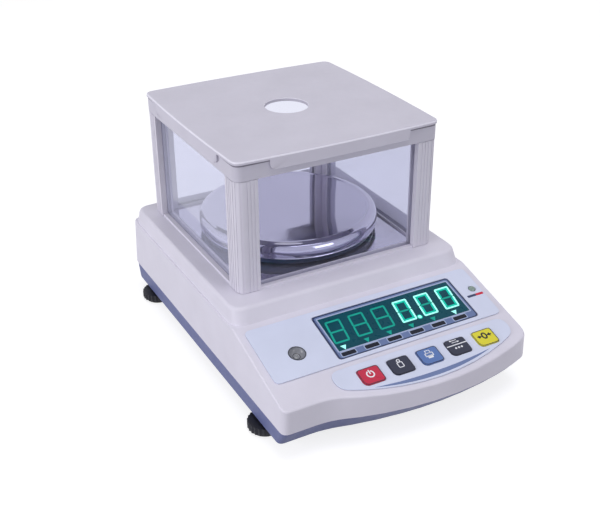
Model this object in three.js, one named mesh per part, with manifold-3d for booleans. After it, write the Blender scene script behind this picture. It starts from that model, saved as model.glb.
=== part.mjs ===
// Precision balance with a square glass wind shield, a round steel pan and a sloped display panel.
// Millimetres, X to the right, Y to the back, Z up, origin on the floor under the middle of the base.
import * as THREE from 'three';
import { mergeVertices } from 'three/addons/utils/BufferGeometryUtils.js';
import Module from 'manifold-3d';

const wasm = await Module();
wasm.setup();

// Fits and general clearances
const SEAT = 0.3; // gap between pieces that rest on or sit in each other
const THREAD_CLEARANCE = 0.3; // radial gap round studs and screws
const PAST = 1; // how far joined forms run into each other and cuts run past the faces that they open

// Base casings
const BASE_WIDTH = 187;
const BASE_FRONT_Y = -122.5;
const BULGE_DEPTH = 15;
const BULGE_START = 33.5; // from the left side to where the front begins to swell
const BULGE_MIDDLE_X = 19;
const REAR_CORNER = 8;
const FRONT_LEFT_CORNER = 5;
const FRONT_RIGHT_CORNER = 8;
const KINK_CORNER = 10;
const CASE_WALL = 2.4;
const TRAY_BOTTOM_Z = 9.2;
const SEAM_Z = 23.2;
const TRAY_INSET = 0.8;
const TRAY_FLOOR = 2.5;
const TRAY_RAKE = 9;
const TRAY_DRAFT = 1;
const TRAY_SWELL = 0.75; // share of the front's swelling that the tray's bottom keeps
const SIDE_DRAFT = 1.2;

// Platform that carries the shield, and the sloped panel in front of it
const SHOULDER_Z = 59.7;
const PLATFORM_Z = 70.4;
const PLATFORM_STEP = 2.5; // from the base's side to the platform's
const PLATFORM_FRONT_Y = -50.9;
const PLATFORM_REAR_STEP = 2;
const PLATFORM_CORNER = 11;
const PLATFORM_SIDE_DRAFT = 1.6;
const PLATFORM_FRONT_DRAFT = 5;
const PLATFORM_REAR_DRAFT = 2;
const ROOF = 4;
const PANEL_SLOPE = 15.1;

// Wind shield
const SHIELD_MARGIN = 13.8; // from the platform's side to the posts
const SHIELD_FRONT_MARGIN = 20.2;
const SHIELD_REAR_MARGIN = 11.8;
const POST_SIZE = 16;
const POST_CORNER = 6;
const FLUTE_DEPTH = 0.5;
const FLUTE_WIDTH = 1.5;
const FLUTE_FIRST = 8.2; // middles of a post's flutes, from its outer corner
const FLUTE_SECOND = 12;
const POST_LEG = 9.5; // depth of the post's two legs behind their outer faces
const TENON_SIZE = 6;
const TENON_MIDDLE = 5; // from the post's outer faces
const TENON_HEIGHT = 2.5;
const GLASS = 3;
const GLASS_SETBACK = 4.5;
const GLASS_BITE = 3.2;
const FRAME_Z = 151.6;
const FRAME_HEIGHT = 11.3;
const FRAME_WALL = 9.5;
const FRAME_CORNER = 6;
const FRAME_SLOT = 3;
const RAIL_HEIGHT = 1.6;
const RAIL_WIDTH = 8.7;
const RAIL_SETBACK = 0.8; // from the posts' outer faces to the rail's
const GROOVE_DEPTH = 1.4;
const INNER_CORNER = 2;
const FLOOR_CORNER = 3;

// Lid
const LID_OVERHANG = 0.8;
const LID_BOW = 1.5;
const LID_CORNER = 7;
const LID_THICKNESS = 2.3;
const LID_HOLE_RADIUS = 15.7;
const LIP_MARGIN = 25; // from the lid's corners to the lips' ends
const LIP_HEIGHT = 6.4;
const LID_RIM_HEIGHT = 3;
const LID_RIM_WALL = 2.4;

// Weighing pan and what carries it
const PAN_CLEARANCE = 1.2; // from the rail to the pan's edge, seen from above
const PAN_TOP_Z = 87.5;
const PAN_ROLL = 4.5; // width of the rolled edge
const PAN_SHOULDER = 6;
const PAN_EDGE_Z = 76.5;
const PAN_SHEET = 1.2;
const CARRIER_GAP = 1.2; // carrier to chamber floor
const CARRIER_THICKNESS = 9.6;
const CARRIER_CLEARANCE = 1;
const CUSHION_RADIUS = 4;
const CUSHION_MARGIN = 22; // from the cushions' middles to the edge of the flat
const HUB_RADIUS = 8;
const HUB_HOLE_RADIUS = 13;
const HUB_BITE = 4; // how deep the hub reaches into the carrier
const FLOOR_SHEET = 1;

// Load cell and its mounting
const WEIGHING_GAP = 0.4; // what the weighing side keeps to what stays still
const CELL_MARGIN = 22.2; // from the posts' outer faces to the load cell's ends
const CELL_WIDTH = 24;
const CELL_HEIGHT = 22;
const CELL_END = 24;
const CELL_BORE = 7;
const CELL_BORE_PITCH = 26;
const CELL_SLOT = 5;
const MOUNT_HEIGHT = 8;
const CHASSIS_SHEET = 2;
const CHASSIS_HALF_WIDTH = 24;
const CHASSIS_MARGIN = 8;
const ARM_THICKNESS = 5;
const ARM_PAD = 6;
const STOP_RADIUS = 4;

// Display panel
const OVERLAY = 0.6;
const OVERLAY_SIDE_MARGIN = 6.5;
const OVERLAY_TOP = 5;
const OVERLAY_BOTTOM = 52.5;
const OVERLAY_CORNER = 4;
const WINDOW_TO_LEVEL = 23;
const WINDOW_RIGHT_MARGIN = 17;
const WINDOW_TOP = 9.8;
const WINDOW_HEIGHT = 39.5;
const WINDOW_CORNER = 2.5;
const DISPLAY_MARGIN = 4;
const DISPLAY_BAND = 7;
const DISPLAY_BODY = 6;
const DISPLAY_FLANGE = 2;

// Keypad
const KEYPAD_REACH = 12.5; // past the window, to the left
const KEYPAD_RIGHT_MARGIN = 3;
const KEYPAD_TOP = 56.5;
const KEYPAD_SIDE = 71;
const KEYPAD_SAG = 14.5;
const KEYPAD_CORNER = 7;
const KEY_NAMES = ['power', 'cal', 'print', 'unit', 'tare'];
const KEY_LEFT_MARGIN = 24.5; // from the keypad's ends to the middles of the first and last keys
const KEY_RIGHT_MARGIN = 22.4;
const KEY_S = 67.6;
const KEY_SPACING = 6.8;
const KEY_HEIGHT = 11.4;
const KEY_CORNER = 1.8;
const KEY_SWEEP = 6.5;
const KEY_PROUD = 0.7;
const KEY_FLANGE = 1.5;
const KEY_FLANGE_MARGIN = 1.2;
const KEY_GAP = 0.6; // key to switch, a little over its travel
const SWITCH_SIZE = 6;
const SWITCH_HEIGHT = 2.2;
const KEYBOARD_POST_RADIUS = 2;
const KEYBOARD_EDGE = 3; // board beyond its posts' middles
const BOARD = 1.6;

// Level and indicator
const LEVEL_MARGIN = 24; // from the overlay's side to the level's middle
const LEVEL_S = 34.2;
const LEVEL_WINDOW_RADIUS = 6;
const VIAL_RADIUS = 7;
const VIAL_HEIGHT = 5;
const HOLDER_WALL = 1.6;
const LED_MARGIN = 6;
const LED_S = 25.7;
const LED_RADIUS = 2.5;
const LED_PROUD = 1.2;
const LED_SHOULDER_RADIUS = 1.8;
const LED_SHOULDER_PROUD = 0.9;
const LED_DEPTH = 6;

// Levelling feet
const FOOT_SIDE_INSET = 7.6;
const FOOT_FRONT_INSET = 40.2;
const FOOT_REAR_INSET = 29.3;
const KNOB_RADIUS = 12;
const KNOB_TOP_Z = 7.3;
const KNOB_LOBES = 24;
const KNOB_LOBE_DEPTH = 0.7;
const PAD_RADIUS = 9.5;
const PAD_HEIGHT = 1.6;
const PIVOT_RADIUS = 2;
const PIVOT_HEIGHT = 2;
const STUD_RADIUS = 3;
const STUD_TOP_Z = 18;
const STUD_BOSS_RADIUS = 5.5;
const STUD_BOSS_TOP_Z = 20;

// Case screws
const SCREW_FRONT_SIDE_INSET = 19.5;
const SCREW_FRONT_INSET = 22.5;
const SCREW_REAR_SIDE_INSET = 25.5;
const SCREW_REAR_INSET = 15.5;
const SCREW_RADIUS = 1.5;
const SCREW_HEAD_RADIUS = 3.4;
const SCREW_HEAD_HEIGHT = 2.2;
const SCREW_TOP_Z = 24;
const SCREW_LEDGE_Z = 14.2;
const SCREW_BOSS_RADIUS = 4.5;
const SCREW_LEDGE_RADIUS = 5.5;

// Boards, battery and sockets
const MAIN_BOARD_SIDE_GAP = 35.5;
const MAIN_BOARD_DEPTH = 50;
const MAIN_BOARD_REAR_GAP = 5.5; // to the chassis plate
const MAIN_BOARD_Z = 16;
const STANDOFF_RADIUS = 3;
const STANDOFF_MARGIN = 5;
const BUZZER_RADIUS = 6;
const BUZZER_HEIGHT = 6;
const BUZZER_MARGIN = 18;
const BATTERY_INNER_GAP = 6; // to the chassis plate
const BATTERY_SIDE_GAP = 17.5; // to the base's side
const BATTERY_LENGTH = 96;
const BATTERY_HEIGHT = 40;
const SOCKET_BOARD_Z = 28;
const SOCKET_BOARD_HALF_WIDTH = 44;
const SOCKET_BOARD_DEPTH = 22;
const SOCKET_RECESS = 0.4; // sockets end this far inside the rear face
const INLET_X = -26;
const INLET_WIDTH = 10;
const INLET_HEIGHT = 11;
const INLET_BORE = 3;
const INLET_BORE_DEPTH = 10;
const INLET_PIN = 0.9;
const INLET_PIN_RECESS = 1;
const PORT_X = 18;
const PORT_WIDTH = 31;
const PORT_HEIGHT = 12.5;
const PORT_MOUTH_WIDTH = 18;
const PORT_MOUTH_HEIGHT = 7.5;
const PORT_MOUTH_DEPTH = 7;
const SOCKET_DEPTH = 14;

// Values worked out from the driving dimensions
const HALF_WIDTH = BASE_WIDTH / 2;
const BULGE_LEFT_X = BULGE_START - HALF_WIDTH;
const TRAY_TOP_Z = SEAM_Z - SEAT;
const TRAY_FLOOR_Z = TRAY_BOTTOM_Z + TRAY_FLOOR;
const PLATFORM_HALF_WIDTH = HALF_WIDTH - PLATFORM_STEP;
const SLOPE = THREE.MathUtils.degToRad(PANEL_SLOPE);
const FLOOR_TOP_Z = PLATFORM_Z;
const FLOOR_RECESS_Z = FLOOR_TOP_Z - FLOOR_SHEET - SEAT;
const SHIELD_HALF = PLATFORM_HALF_WIDTH - SHIELD_MARGIN;
const SHIELD_Y = PLATFORM_FRONT_Y + SHIELD_FRONT_MARGIN + SHIELD_HALF;
const PLATFORM_REAR_Y = SHIELD_Y + SHIELD_HALF + SHIELD_REAR_MARGIN;
const BASE_REAR_Y = PLATFORM_REAR_Y + PLATFORM_REAR_STEP;
const LID_Z = FRAME_Z + FRAME_HEIGHT + SEAT;
const LID_HALF = SHIELD_HALF + LID_OVERHANG;
const LIP_HALF = LID_HALF - LIP_MARGIN;
const SLOT_WIDTH = GLASS + 2 * SEAT;
const GLASS_MIDDLE = SHIELD_HALF - GLASS_SETBACK - SLOT_WIDTH / 2;
const GLASS_HALF = SHIELD_HALF - POST_SIZE + GLASS_BITE - SEAT;
const GROOVE_FLOOR_Z = PLATFORM_Z - GROOVE_DEPTH;
const RAIL_OUTER = SHIELD_HALF - RAIL_SETBACK;
const RAIL_INNER = RAIL_OUTER - RAIL_WIDTH;
const PAN_RADIUS = RAIL_INNER - PAN_CLEARANCE;
const PAN_FLAT_RADIUS = PAN_RADIUS - PAN_ROLL;
const CARRIER_Z = FLOOR_TOP_Z + CARRIER_GAP;
const CARRIER_TOP_Z = CARRIER_Z + CARRIER_THICKNESS;
const CARRIER_RADIUS = PAN_RADIUS - PAN_SHEET - CARRIER_CLEARANCE;
const CUSHION_CIRCLE = PAN_FLAT_RADIUS - CUSHION_MARGIN;
const CHASSIS_Z = TRAY_FLOOR_Z + SEAT;
const MOUNT_Z = CHASSIS_Z + CHASSIS_SHEET + SEAT;
const CELL_Z = MOUNT_Z + MOUNT_HEIGHT + SEAT;
const CELL_TOP_Z = CELL_Z + CELL_HEIGHT;
const CELL_FRONT_Y = SHIELD_Y - SHIELD_HALF + CELL_MARGIN;
const CELL_REAR_Y = SHIELD_Y + SHIELD_HALF - CELL_MARGIN;
const OVERLAY_HALF_WIDTH = HALF_WIDTH - OVERLAY_SIDE_MARGIN;
const LEVEL_X = LEVEL_MARGIN - OVERLAY_HALF_WIDTH;
const LED_X = OVERLAY_HALF_WIDTH - LED_MARGIN;
const WINDOW_LEFT_X = LEVEL_X + WINDOW_TO_LEVEL;
const WINDOW_RIGHT_X = OVERLAY_HALF_WIDTH - WINDOW_RIGHT_MARGIN;
const KEYPAD_LEFT_X = WINDOW_LEFT_X - KEYPAD_REACH;
const KEYPAD_RIGHT_X = OVERLAY_HALF_WIDTH - KEYPAD_RIGHT_MARGIN;
const KEY_FIRST_X = KEYPAD_LEFT_X + KEY_LEFT_MARGIN;
const KEY_PITCH = (KEYPAD_RIGHT_X - KEY_RIGHT_MARGIN - KEY_FIRST_X) / (KEY_NAMES.length - 1);
const KEY_WIDTH = KEY_PITCH - KEY_SPACING;
const FOOT_X = HALF_WIDTH - FOOT_SIDE_INSET;
const FOOT_FRONT_Y = BASE_FRONT_Y + FOOT_FRONT_INSET;
const FOOT_REAR_Y = BASE_REAR_Y - FOOT_REAR_INSET;
const MAIN_BOARD_HALF_WIDTH = HALF_WIDTH - MAIN_BOARD_SIDE_GAP;
const MAIN_BOARD_REAR_Y = CELL_FRONT_Y - CHASSIS_MARGIN - MAIN_BOARD_REAR_GAP;
const MAIN_BOARD_FRONT_Y = MAIN_BOARD_REAR_Y - MAIN_BOARD_DEPTH;
const BUZZER_X = BUZZER_MARGIN - MAIN_BOARD_HALF_WIDTH;

// Every piece's finish
const FINISHES = {
  casing: { color: 0xdedce2, roughness: 0.45, metalness: 0 },
  tray: { color: 0x70739c, roughness: 0.5, metalness: 0 },
  shield: { color: 0xcfccd2, roughness: 0.45, metalness: 0 },
  glass: { color: 0xc8cde6, roughness: 0.05, metalness: 0, transparent: true, opacity: 0.3 },
  steel: { color: 0xc9c9d2, roughness: 0.12, metalness: 1 },
  floor: { color: 0x9a97a8, roughness: 0.2, metalness: 0.9 },
  dark: { color: 0x23283a, roughness: 0.35, metalness: 0 },
  black: { color: 0x15151a, roughness: 0.6, metalness: 0 },
  rubber: { color: 0x1c1c20, roughness: 0.85, metalness: 0 },
  overlay: { color: 0xc8d0e6, roughness: 0.4, metalness: 0 },
  window: { color: 0x2c4f66, roughness: 0.15, metalness: 0 },
  display: { color: 0x0c6f63, roughness: 0.3, metalness: 0 },
  board: { color: 0x1f6b3a, roughness: 0.6, metalness: 0 },
  aluminium: { color: 0xb4b7bc, roughness: 0.35, metalness: 1 },
  zinc: { color: 0x9d9fa5, roughness: 0.4, metalness: 1 },
  battery: { color: 0x2b2d33, roughness: 0.6, metalness: 0 },
  vial: { color: 0xb9c4a8, roughness: 0.1, metalness: 0 },
  led: { color: 0x7f8b86, roughness: 0.2, metalness: 0 },
  power: { color: 0xc22433, roughness: 0.4, metalness: 0 },
  cal: { color: 0x2a2d3a, roughness: 0.4, metalness: 0 },
  print: { color: 0x4a7fc0, roughness: 0.4, metalness: 0 },
  unit: { color: 0x2a2d3a, roughness: 0.4, metalness: 0 },
  tare: { color: 0xd9c93a, roughness: 0.4, metalness: 0 },
};

const balance = new THREE.Group();

// Adds one named piece to a group
function piece(name, geometry, finish, parent = balance) {
  const mesh = new THREE.Mesh(geometry, new THREE.MeshStandardMaterial(FINISHES[finish]));
  mesh.name = name;
  parent.add(mesh);
  return mesh;
}

// Solids from three.js geometry, joined and cut
function toSolid(geometry) {
  const bare = geometry.clone();
  for (const name of Object.keys(bare.attributes)) {
    if (name !== 'position') bare.deleteAttribute(name);
  }
  const merged = mergeVertices(bare, 1e-4);
  return new wasm.Manifold(new wasm.Mesh({
    numProp: 3,
    vertProperties: new Float32Array(merged.attributes.position.array),
    triVerts: new Uint32Array(merged.index.array),
  }));
}

function toGeometry(body) {
  const mesh = body.getMesh();
  const geometry = new THREE.BufferGeometry();
  geometry.setAttribute('position', new THREE.BufferAttribute(new Float32Array(mesh.vertProperties), 3));
  geometry.setIndex(new THREE.BufferAttribute(new Uint32Array(mesh.triVerts), 1));
  geometry.computeVertexNormals();
  return geometry;
}

function join(...geometries) {
  return toGeometry(geometries.map(toSolid).reduce((whole, next) => whole.add(next)));
}

function cut(geometry, ...tools) {
  return toGeometry(tools.map(toSolid).reduce((rest, tool) => rest.subtract(tool), toSolid(geometry)));
}

function common(first, second) {
  return toGeometry(toSolid(first).intersect(toSolid(second)));
}

// Basic forms, each between two heights
function box(x0, x1, y0, y1, z0, z1) {
  const geometry = new THREE.BoxGeometry(x1 - x0, y1 - y0, z1 - z0);
  return geometry.translate((x0 + x1) / 2, (y0 + y1) / 2, (z0 + z1) / 2);
}

function rod(x, y, radius, z0, z1, sides = 24) {
  const geometry = new THREE.CylinderGeometry(radius, radius, z1 - z0, sides);
  return geometry.rotateX(Math.PI / 2).translate(x, y, (z0 + z1) / 2);
}

function plate(shape, z0, z1, curveSegments = 4) {
  const options = { depth: z1 - z0, bevelEnabled: false, curveSegments };
  return new THREE.ExtrudeGeometry(shape, options).translate(0, 0, z0);
}

function turned(profile, segments = 40) {
  const points = profile.map(([radius, height]) => new THREE.Vector2(radius, height));
  return new THREE.LatheGeometry(points, segments).rotateX(Math.PI / 2);
}

// An outline from corners given as x, y and the length that each corner's curve takes
function softOutline(corners) {
  const shape = new THREE.Shape();
  corners.forEach(([x, y, size], index) => {
    const corner = new THREE.Vector2(x, y);
    const [px, py] = corners[(index + corners.length - 1) % corners.length];
    const [nx, ny] = corners[(index + 1) % corners.length];
    const before = new THREE.Vector2(px, py).sub(corner).setLength(size).add(corner);
    const after = new THREE.Vector2(nx, ny).sub(corner).setLength(size).add(corner);
    if (index === 0) shape.moveTo(before.x, before.y);
    else shape.lineTo(before.x, before.y);
    if (size > 0) shape.quadraticCurveTo(x, y, after.x, after.y);
  });
  shape.closePath();
  return shape;
}

function roundedRectangle(x0, x1, y0, y1, size) {
  return softOutline([[x0, y0, size], [x1, y0, size], [x1, y1, size], [x0, y1, size]]);
}

function square(half, size) {
  return roundedRectangle(-half, half, SHIELD_Y - half, SHIELD_Y + half, size);
}

// Moves the points at one height inwards, which gives moulded walls their draft. The front's swelling keeps
// the share of its depth that swell gives.
function drawIn(geometry, height, { side, front, rear, swell = 1 }) {
  const position = geometry.attributes.position;
  for (let index = 0; index < position.count; index += 1) {
    if (Math.abs(position.getZ(index) - height) > 1e-3) continue;
    const x = position.getX(index);
    const y = position.getY(index);
    const swollen = Math.min(y - BASE_FRONT_Y, 0);
    position.setX(index, x - Math.sign(x) * side);
    position.setY(index, y < 0 ? y + front - swollen * (1 - swell) : y - rear);
  }
  return geometry;
}

// The base in plan: a rounded rectangle whose front swells out under the keys
function baseOutline(inset) {
  const half = HALF_WIDTH - inset;
  const rear = BASE_REAR_Y - inset;
  const front = BASE_FRONT_Y + inset;
  const chord = BULGE_MIDDLE_X - BULGE_LEFT_X;
  const radius = (chord * chord + BULGE_DEPTH * BULGE_DEPTH) / (2 * BULGE_DEPTH);
  const centreY = BASE_FRONT_Y - BULGE_DEPTH + radius;
  const swell = radius - inset;
  const kinkX = BULGE_MIDDLE_X - Math.sqrt(swell * swell - (centreY - front) ** 2);
  const arc = [];
  const steps = 9;
  for (let step = 1; step < steps; step += 1) {
    const x = kinkX + ((half - kinkX) * step) / steps;
    arc.push([x, centreY - Math.sqrt(swell * swell - (x - BULGE_MIDDLE_X) ** 2), 0]);
  }
  const endY = centreY - Math.sqrt(swell * swell - (half - BULGE_MIDDLE_X) ** 2);
  return softOutline([
    [-half, rear, REAR_CORNER - inset],
    [-half, front, FRONT_LEFT_CORNER - inset],
    [kinkX, front, KINK_CORNER],
    ...arc,
    [half, endY, FRONT_RIGHT_CORNER - inset],
    [half, rear, REAR_CORNER - inset],
  ]);
}

// The sloped panel's own frame: X to the right, -Y down the slope, Z out of its face
const panel = new THREE.Group();
panel.position.set(0, PLATFORM_FRONT_Y, SHOULDER_Z);
panel.rotation.x = SLOPE;
panel.updateMatrix();
balance.add(panel);

function onPanel(geometry) {
  return geometry.applyMatrix4(panel.matrix);
}

// What lies over the panel's face, or over a level under it
function spaceOverPanel(level = 0) {
  const reach = 2 * BASE_WIDTH;
  return onPanel(box(-reach, reach, -reach, 0, level, reach));
}

// The four corners in turn, counted from the front left one
const corners = ['front_left', 'front_right', 'rear_right', 'rear_left'];

const footPlaces = {
  front_left: [-FOOT_X, FOOT_FRONT_Y],
  front_right: [FOOT_X, FOOT_FRONT_Y],
  rear_left: [-FOOT_X, FOOT_REAR_Y],
  rear_right: [FOOT_X, FOOT_REAR_Y],
};

const screwPlaces = {
  front_left: [SCREW_FRONT_SIDE_INSET - HALF_WIDTH, BASE_FRONT_Y + SCREW_FRONT_INSET],
  front_right: [HALF_WIDTH - SCREW_FRONT_SIDE_INSET, BASE_FRONT_Y + SCREW_FRONT_INSET],
  rear_left: [SCREW_REAR_SIDE_INSET - HALF_WIDTH, BASE_REAR_Y - SCREW_REAR_INSET],
  rear_right: [HALF_WIDTH - SCREW_REAR_SIDE_INSET, BASE_REAR_Y - SCREW_REAR_INSET],
};

const keyPlaces = KEY_NAMES.map((name, index) => ({ name, x: KEY_FIRST_X + index * KEY_PITCH }));

// A key in plan: a rounded rectangle with one wide corner, at lower left
function keyShape(margin) {
  const half = KEY_WIDTH / 2 + margin;
  const tall = KEY_HEIGHT / 2 + margin;
  const sweep = Math.min(KEY_SWEEP, KEY_WIDTH - 2 * KEY_CORNER);
  return softOutline([
    [-half, -tall, sweep + margin],
    [half, -tall, KEY_CORNER + margin],
    [half, tall, KEY_CORNER + margin],
    [-half, tall, KEY_CORNER + margin],
  ]);
}

// Cuts through the panel for every key, with a gap all round
function keyHoles(gap, z0, z1) {
  return keyPlaces.map(({ x }) => plate(keyShape(gap), z0, z1, 2).translate(x, -KEY_S, 0));
}

// Display opening, on the panel
const DISPLAY_LEFT_X = WINDOW_LEFT_X + DISPLAY_MARGIN;
const DISPLAY_RIGHT_X = WINDOW_RIGHT_X - DISPLAY_MARGIN;
const DISPLAY_HIGH = WINDOW_TOP + DISPLAY_MARGIN;
const DISPLAY_LOW = WINDOW_TOP + WINDOW_HEIGHT - DISPLAY_BAND;

// Keypad board and the posts it hangs from
const KEYBOARD_TOP = -CASE_WALL - SEAT - KEY_FLANGE - KEY_GAP - SWITCH_HEIGHT;
const keyboardPostXs = [keyPlaces[0].x, keyPlaces.at(-1).x].map((x, index) => {
  const reach = KEY_WIDTH / 2 + KEY_FLANGE_MARGIN + KEYBOARD_POST_RADIUS + 2 * SEAT;
  return x + (index === 0 ? -reach : reach);
});

// Posts on the tray's floor under the boards
const mainBoardPosts = [-1, 1].flatMap((side) => [
  [side * (MAIN_BOARD_HALF_WIDTH - STANDOFF_MARGIN), MAIN_BOARD_FRONT_Y + STANDOFF_MARGIN],
  [side * (MAIN_BOARD_HALF_WIDTH - STANDOFF_MARGIN), MAIN_BOARD_REAR_Y - STANDOFF_MARGIN],
]);
const socketBoardRearY = BASE_REAR_Y - 2 * CASE_WALL - SEAT;
const socketBoardPosts = [-1, 1].map((side) => [
  side * (SOCKET_BOARD_HALF_WIDTH - STANDOFF_MARGIN), socketBoardRearY - SOCKET_BOARD_DEPTH / 2,
]);

// Rear sockets, as boxes in the rear wall
const socketFloorZ = SOCKET_BOARD_Z + BOARD + SEAT;
const socketFaceY = BASE_REAR_Y - SIDE_DRAFT - SOCKET_RECESS;

function socketCut(x, width, height) {
  return box(
    x - width / 2 - SEAT, x + width / 2 + SEAT,
    BASE_REAR_Y - 2 * CASE_WALL, BASE_REAR_Y + PAST,
    socketFloorZ - SEAT, socketFloorZ + height + SEAT,
  );
}

// Puts a form drawn for the front left corner, about the shield's axis, at another corner
function atShieldTurn(geometry, turn) {
  return geometry.rotateZ((turn * Math.PI) / 2).translate(0, SHIELD_Y, 0);
}

function tenon(gap, z0, z1) {
  const middle = TENON_MIDDLE - SHIELD_HALF;
  const half = TENON_SIZE / 2 + gap;
  return box(middle - half, middle + half, middle - half, middle + half, z0, z1);
}

function glassSlot(z0, z1) {
  const half = GLASS_HALF + SEAT;
  return box(-half, half, -GLASS_MIDDLE - SLOT_WIDTH / 2, -GLASS_MIDDLE + SLOT_WIDTH / 2, z0, z1);
}

function atEveryTurn(make) {
  return [0, 1, 2, 3].map((turn) => atShieldTurn(make(), turn));
}

// Rim on the platform in which the glass stands, open at the posts
function glassRail() {
  const top = PLATFORM_Z + RAIL_HEIGHT;
  const postEdge = POST_SIZE + SEAT - SHIELD_HALF;
  return cut(
    plate(square(RAIL_OUTER, INNER_CORNER), PLATFORM_Z - PAST, top),
    plate(square(RAIL_INNER, INNER_CORNER), PLATFORM_Z - 2 * PAST, top + PAST),
    ...atEveryTurn(() => box(-SHIELD_HALF, postEdge, -SHIELD_HALF, postEdge, PLATFORM_Z, top + PAST)),
  );
}

function platformBlock(inset, z0, z1) {
  const outline = roundedRectangle(
    -PLATFORM_HALF_WIDTH + inset, PLATFORM_HALF_WIDTH - inset,
    PLATFORM_FRONT_Y + inset, PLATFORM_REAR_Y - inset, PLATFORM_CORNER - inset,
  );
  return drawIn(plate(outline, z0, z1), z1, {
    side: PLATFORM_SIDE_DRAFT, front: PLATFORM_FRONT_DRAFT, rear: PLATFORM_REAR_DRAFT,
  });
}

function mainBlock(inset, z0, z1) {
  return drawIn(plate(baseOutline(inset), z0, z1), z1, { side: SIDE_DRAFT, front: 0, rear: SIDE_DRAFT });
}

// Upper housing: a thin shell with the raised platform, the sloped panel and all their openings
function upperHousing() {
  const outside = join(
    cut(mainBlock(0, SEAM_Z, SHOULDER_Z), spaceOverPanel()),
    platformBlock(0, SHOULDER_Z - PAST, PLATFORM_Z),
    glassRail(),
  );
  const inside = join(
    cut(mainBlock(CASE_WALL, SEAM_Z - PAST, SHOULDER_Z - CASE_WALL), spaceOverPanel(-CASE_WALL)),
    cut(platformBlock(CASE_WALL, SHOULDER_Z - 2 * CASE_WALL, PLATFORM_Z - ROOF), spaceOverPanel(-CASE_WALL)),
  );
  const bosses = Object.values(screwPlaces).map(([x, y]) => cut(
    rod(x, y, SCREW_BOSS_RADIUS, SCREW_LEDGE_Z + SEAT, PLATFORM_Z - ROOF / 2, 16),
    spaceOverPanel(-CASE_WALL / 2),
  ));
  const boardPosts = keyboardPostXs.map((x) => onPanel(
    rod(x, -KEY_S, KEYBOARD_POST_RADIUS, KEYBOARD_TOP + SEAT, -CASE_WALL / 2, 12),
  ));
  const below = -2 * CASE_WALL;
  const panelOpenings = [
    box(
      DISPLAY_LEFT_X - SEAT, DISPLAY_RIGHT_X + SEAT,
      -DISPLAY_LOW - SEAT, -DISPLAY_HIGH + SEAT, below, PAST,
    ),
    rod(LEVEL_X, -LEVEL_S, LEVEL_WINDOW_RADIUS, below, PAST),
    rod(LED_X, -LED_S, LED_RADIUS + SEAT, below, PAST, 16),
    ...keyHoles(SEAT, below, PAST),
  ].map(onPanel);
  const platformOpenings = [
    plate(square(RAIL_INNER, FLOOR_CORNER), FLOOR_RECESS_Z, PLATFORM_Z + RAIL_HEIGHT + PAST),
    rod(0, SHIELD_Y, HUB_HOLE_RADIUS, PLATFORM_Z - 2 * ROOF, PLATFORM_Z),
    ...atEveryTurn(() => glassSlot(GROOVE_FLOOR_Z, PLATFORM_Z + RAIL_HEIGHT + PAST)),
    ...atEveryTurn(() => tenon(SEAT, PLATFORM_Z - TENON_HEIGHT, PLATFORM_Z + PAST)),
  ];
  const screwHoles = Object.values(screwPlaces).map(([x, y]) => rod(
    x, y, SCREW_RADIUS + THREAD_CLEARANCE, SCREW_LEDGE_Z, SCREW_TOP_Z + PAST, 12,
  ));
  return cut(
    join(cut(outside, inside), ...bosses, ...boardPosts),
    ...panelOpenings, ...platformOpenings, ...screwHoles,
    socketCut(INLET_X, INLET_WIDTH, INLET_HEIGHT), socketCut(PORT_X, PORT_WIDTH, PORT_HEIGHT),
  );
}

// Lower tray: a raked dish with bosses for the feet, the screws and the boards
function lowerTray() {
  const draft = { side: TRAY_DRAFT, front: TRAY_RAKE, rear: TRAY_DRAFT, swell: TRAY_SWELL };
  const outside = drawIn(plate(baseOutline(TRAY_INSET), TRAY_BOTTOM_Z, TRAY_TOP_Z), TRAY_BOTTOM_Z, draft);
  const hollow = plate(baseOutline(TRAY_INSET + CASE_WALL), TRAY_FLOOR_Z, TRAY_TOP_Z + PAST);
  const dish = cut(outside, drawIn(hollow, TRAY_FLOOR_Z, draft));
  const underFloor = TRAY_BOTTOM_Z + TRAY_FLOOR / 2;
  const footBosses = Object.values(footPlaces).map(([x, y]) => rod(
    x, y, STUD_BOSS_RADIUS, underFloor, STUD_BOSS_TOP_Z, 16,
  ));
  const ledges = Object.values(screwPlaces).map(([x, y]) => rod(
    x, y, SCREW_LEDGE_RADIUS, underFloor, SCREW_LEDGE_Z, 16,
  ));
  const standoffs = [
    ...mainBoardPosts.map(([x, y]) => rod(x, y, STANDOFF_RADIUS, underFloor, MAIN_BOARD_Z - SEAT, 12)),
    ...socketBoardPosts.map(([x, y]) => rod(x, y, STANDOFF_RADIUS, underFloor, SOCKET_BOARD_Z - SEAT, 12)),
  ];
  const studHoles = Object.values(footPlaces).map(([x, y]) => rod(
    x, y, STUD_RADIUS + THREAD_CLEARANCE, TRAY_BOTTOM_Z - PAST, STUD_BOSS_TOP_Z + PAST, 16,
  ));
  const headTop = TRAY_BOTTOM_Z + SCREW_HEAD_HEIGHT + 2 * SEAT;
  const screwHoles = Object.values(screwPlaces).flatMap(([x, y]) => [
    rod(x, y, SCREW_HEAD_RADIUS + SEAT, TRAY_BOTTOM_Z - PAST, headTop, 16),
    rod(x, y, SCREW_RADIUS + THREAD_CLEARANCE, TRAY_BOTTOM_Z - PAST, SCREW_LEDGE_Z + PAST, 12),
  ]);
  return cut(join(dish, ...footBosses, ...ledges, ...standoffs), ...studHoles, ...screwHoles);
}

piece('upper_housing', upperHousing(), 'casing');
piece('lower_tray', lowerTray(), 'tray');

for (const [place, [x, y]] of Object.entries(screwPlaces)) {
  const headZ = TRAY_BOTTOM_Z + SEAT;
  const screw = join(
    rod(x, y, SCREW_HEAD_RADIUS, headZ, headZ + SCREW_HEAD_HEIGHT, 12),
    rod(x, y, SCREW_RADIUS, headZ, SCREW_TOP_Z, 8),
  );
  piece(`case_screw_${place}`, screw, 'zinc');
}

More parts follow.
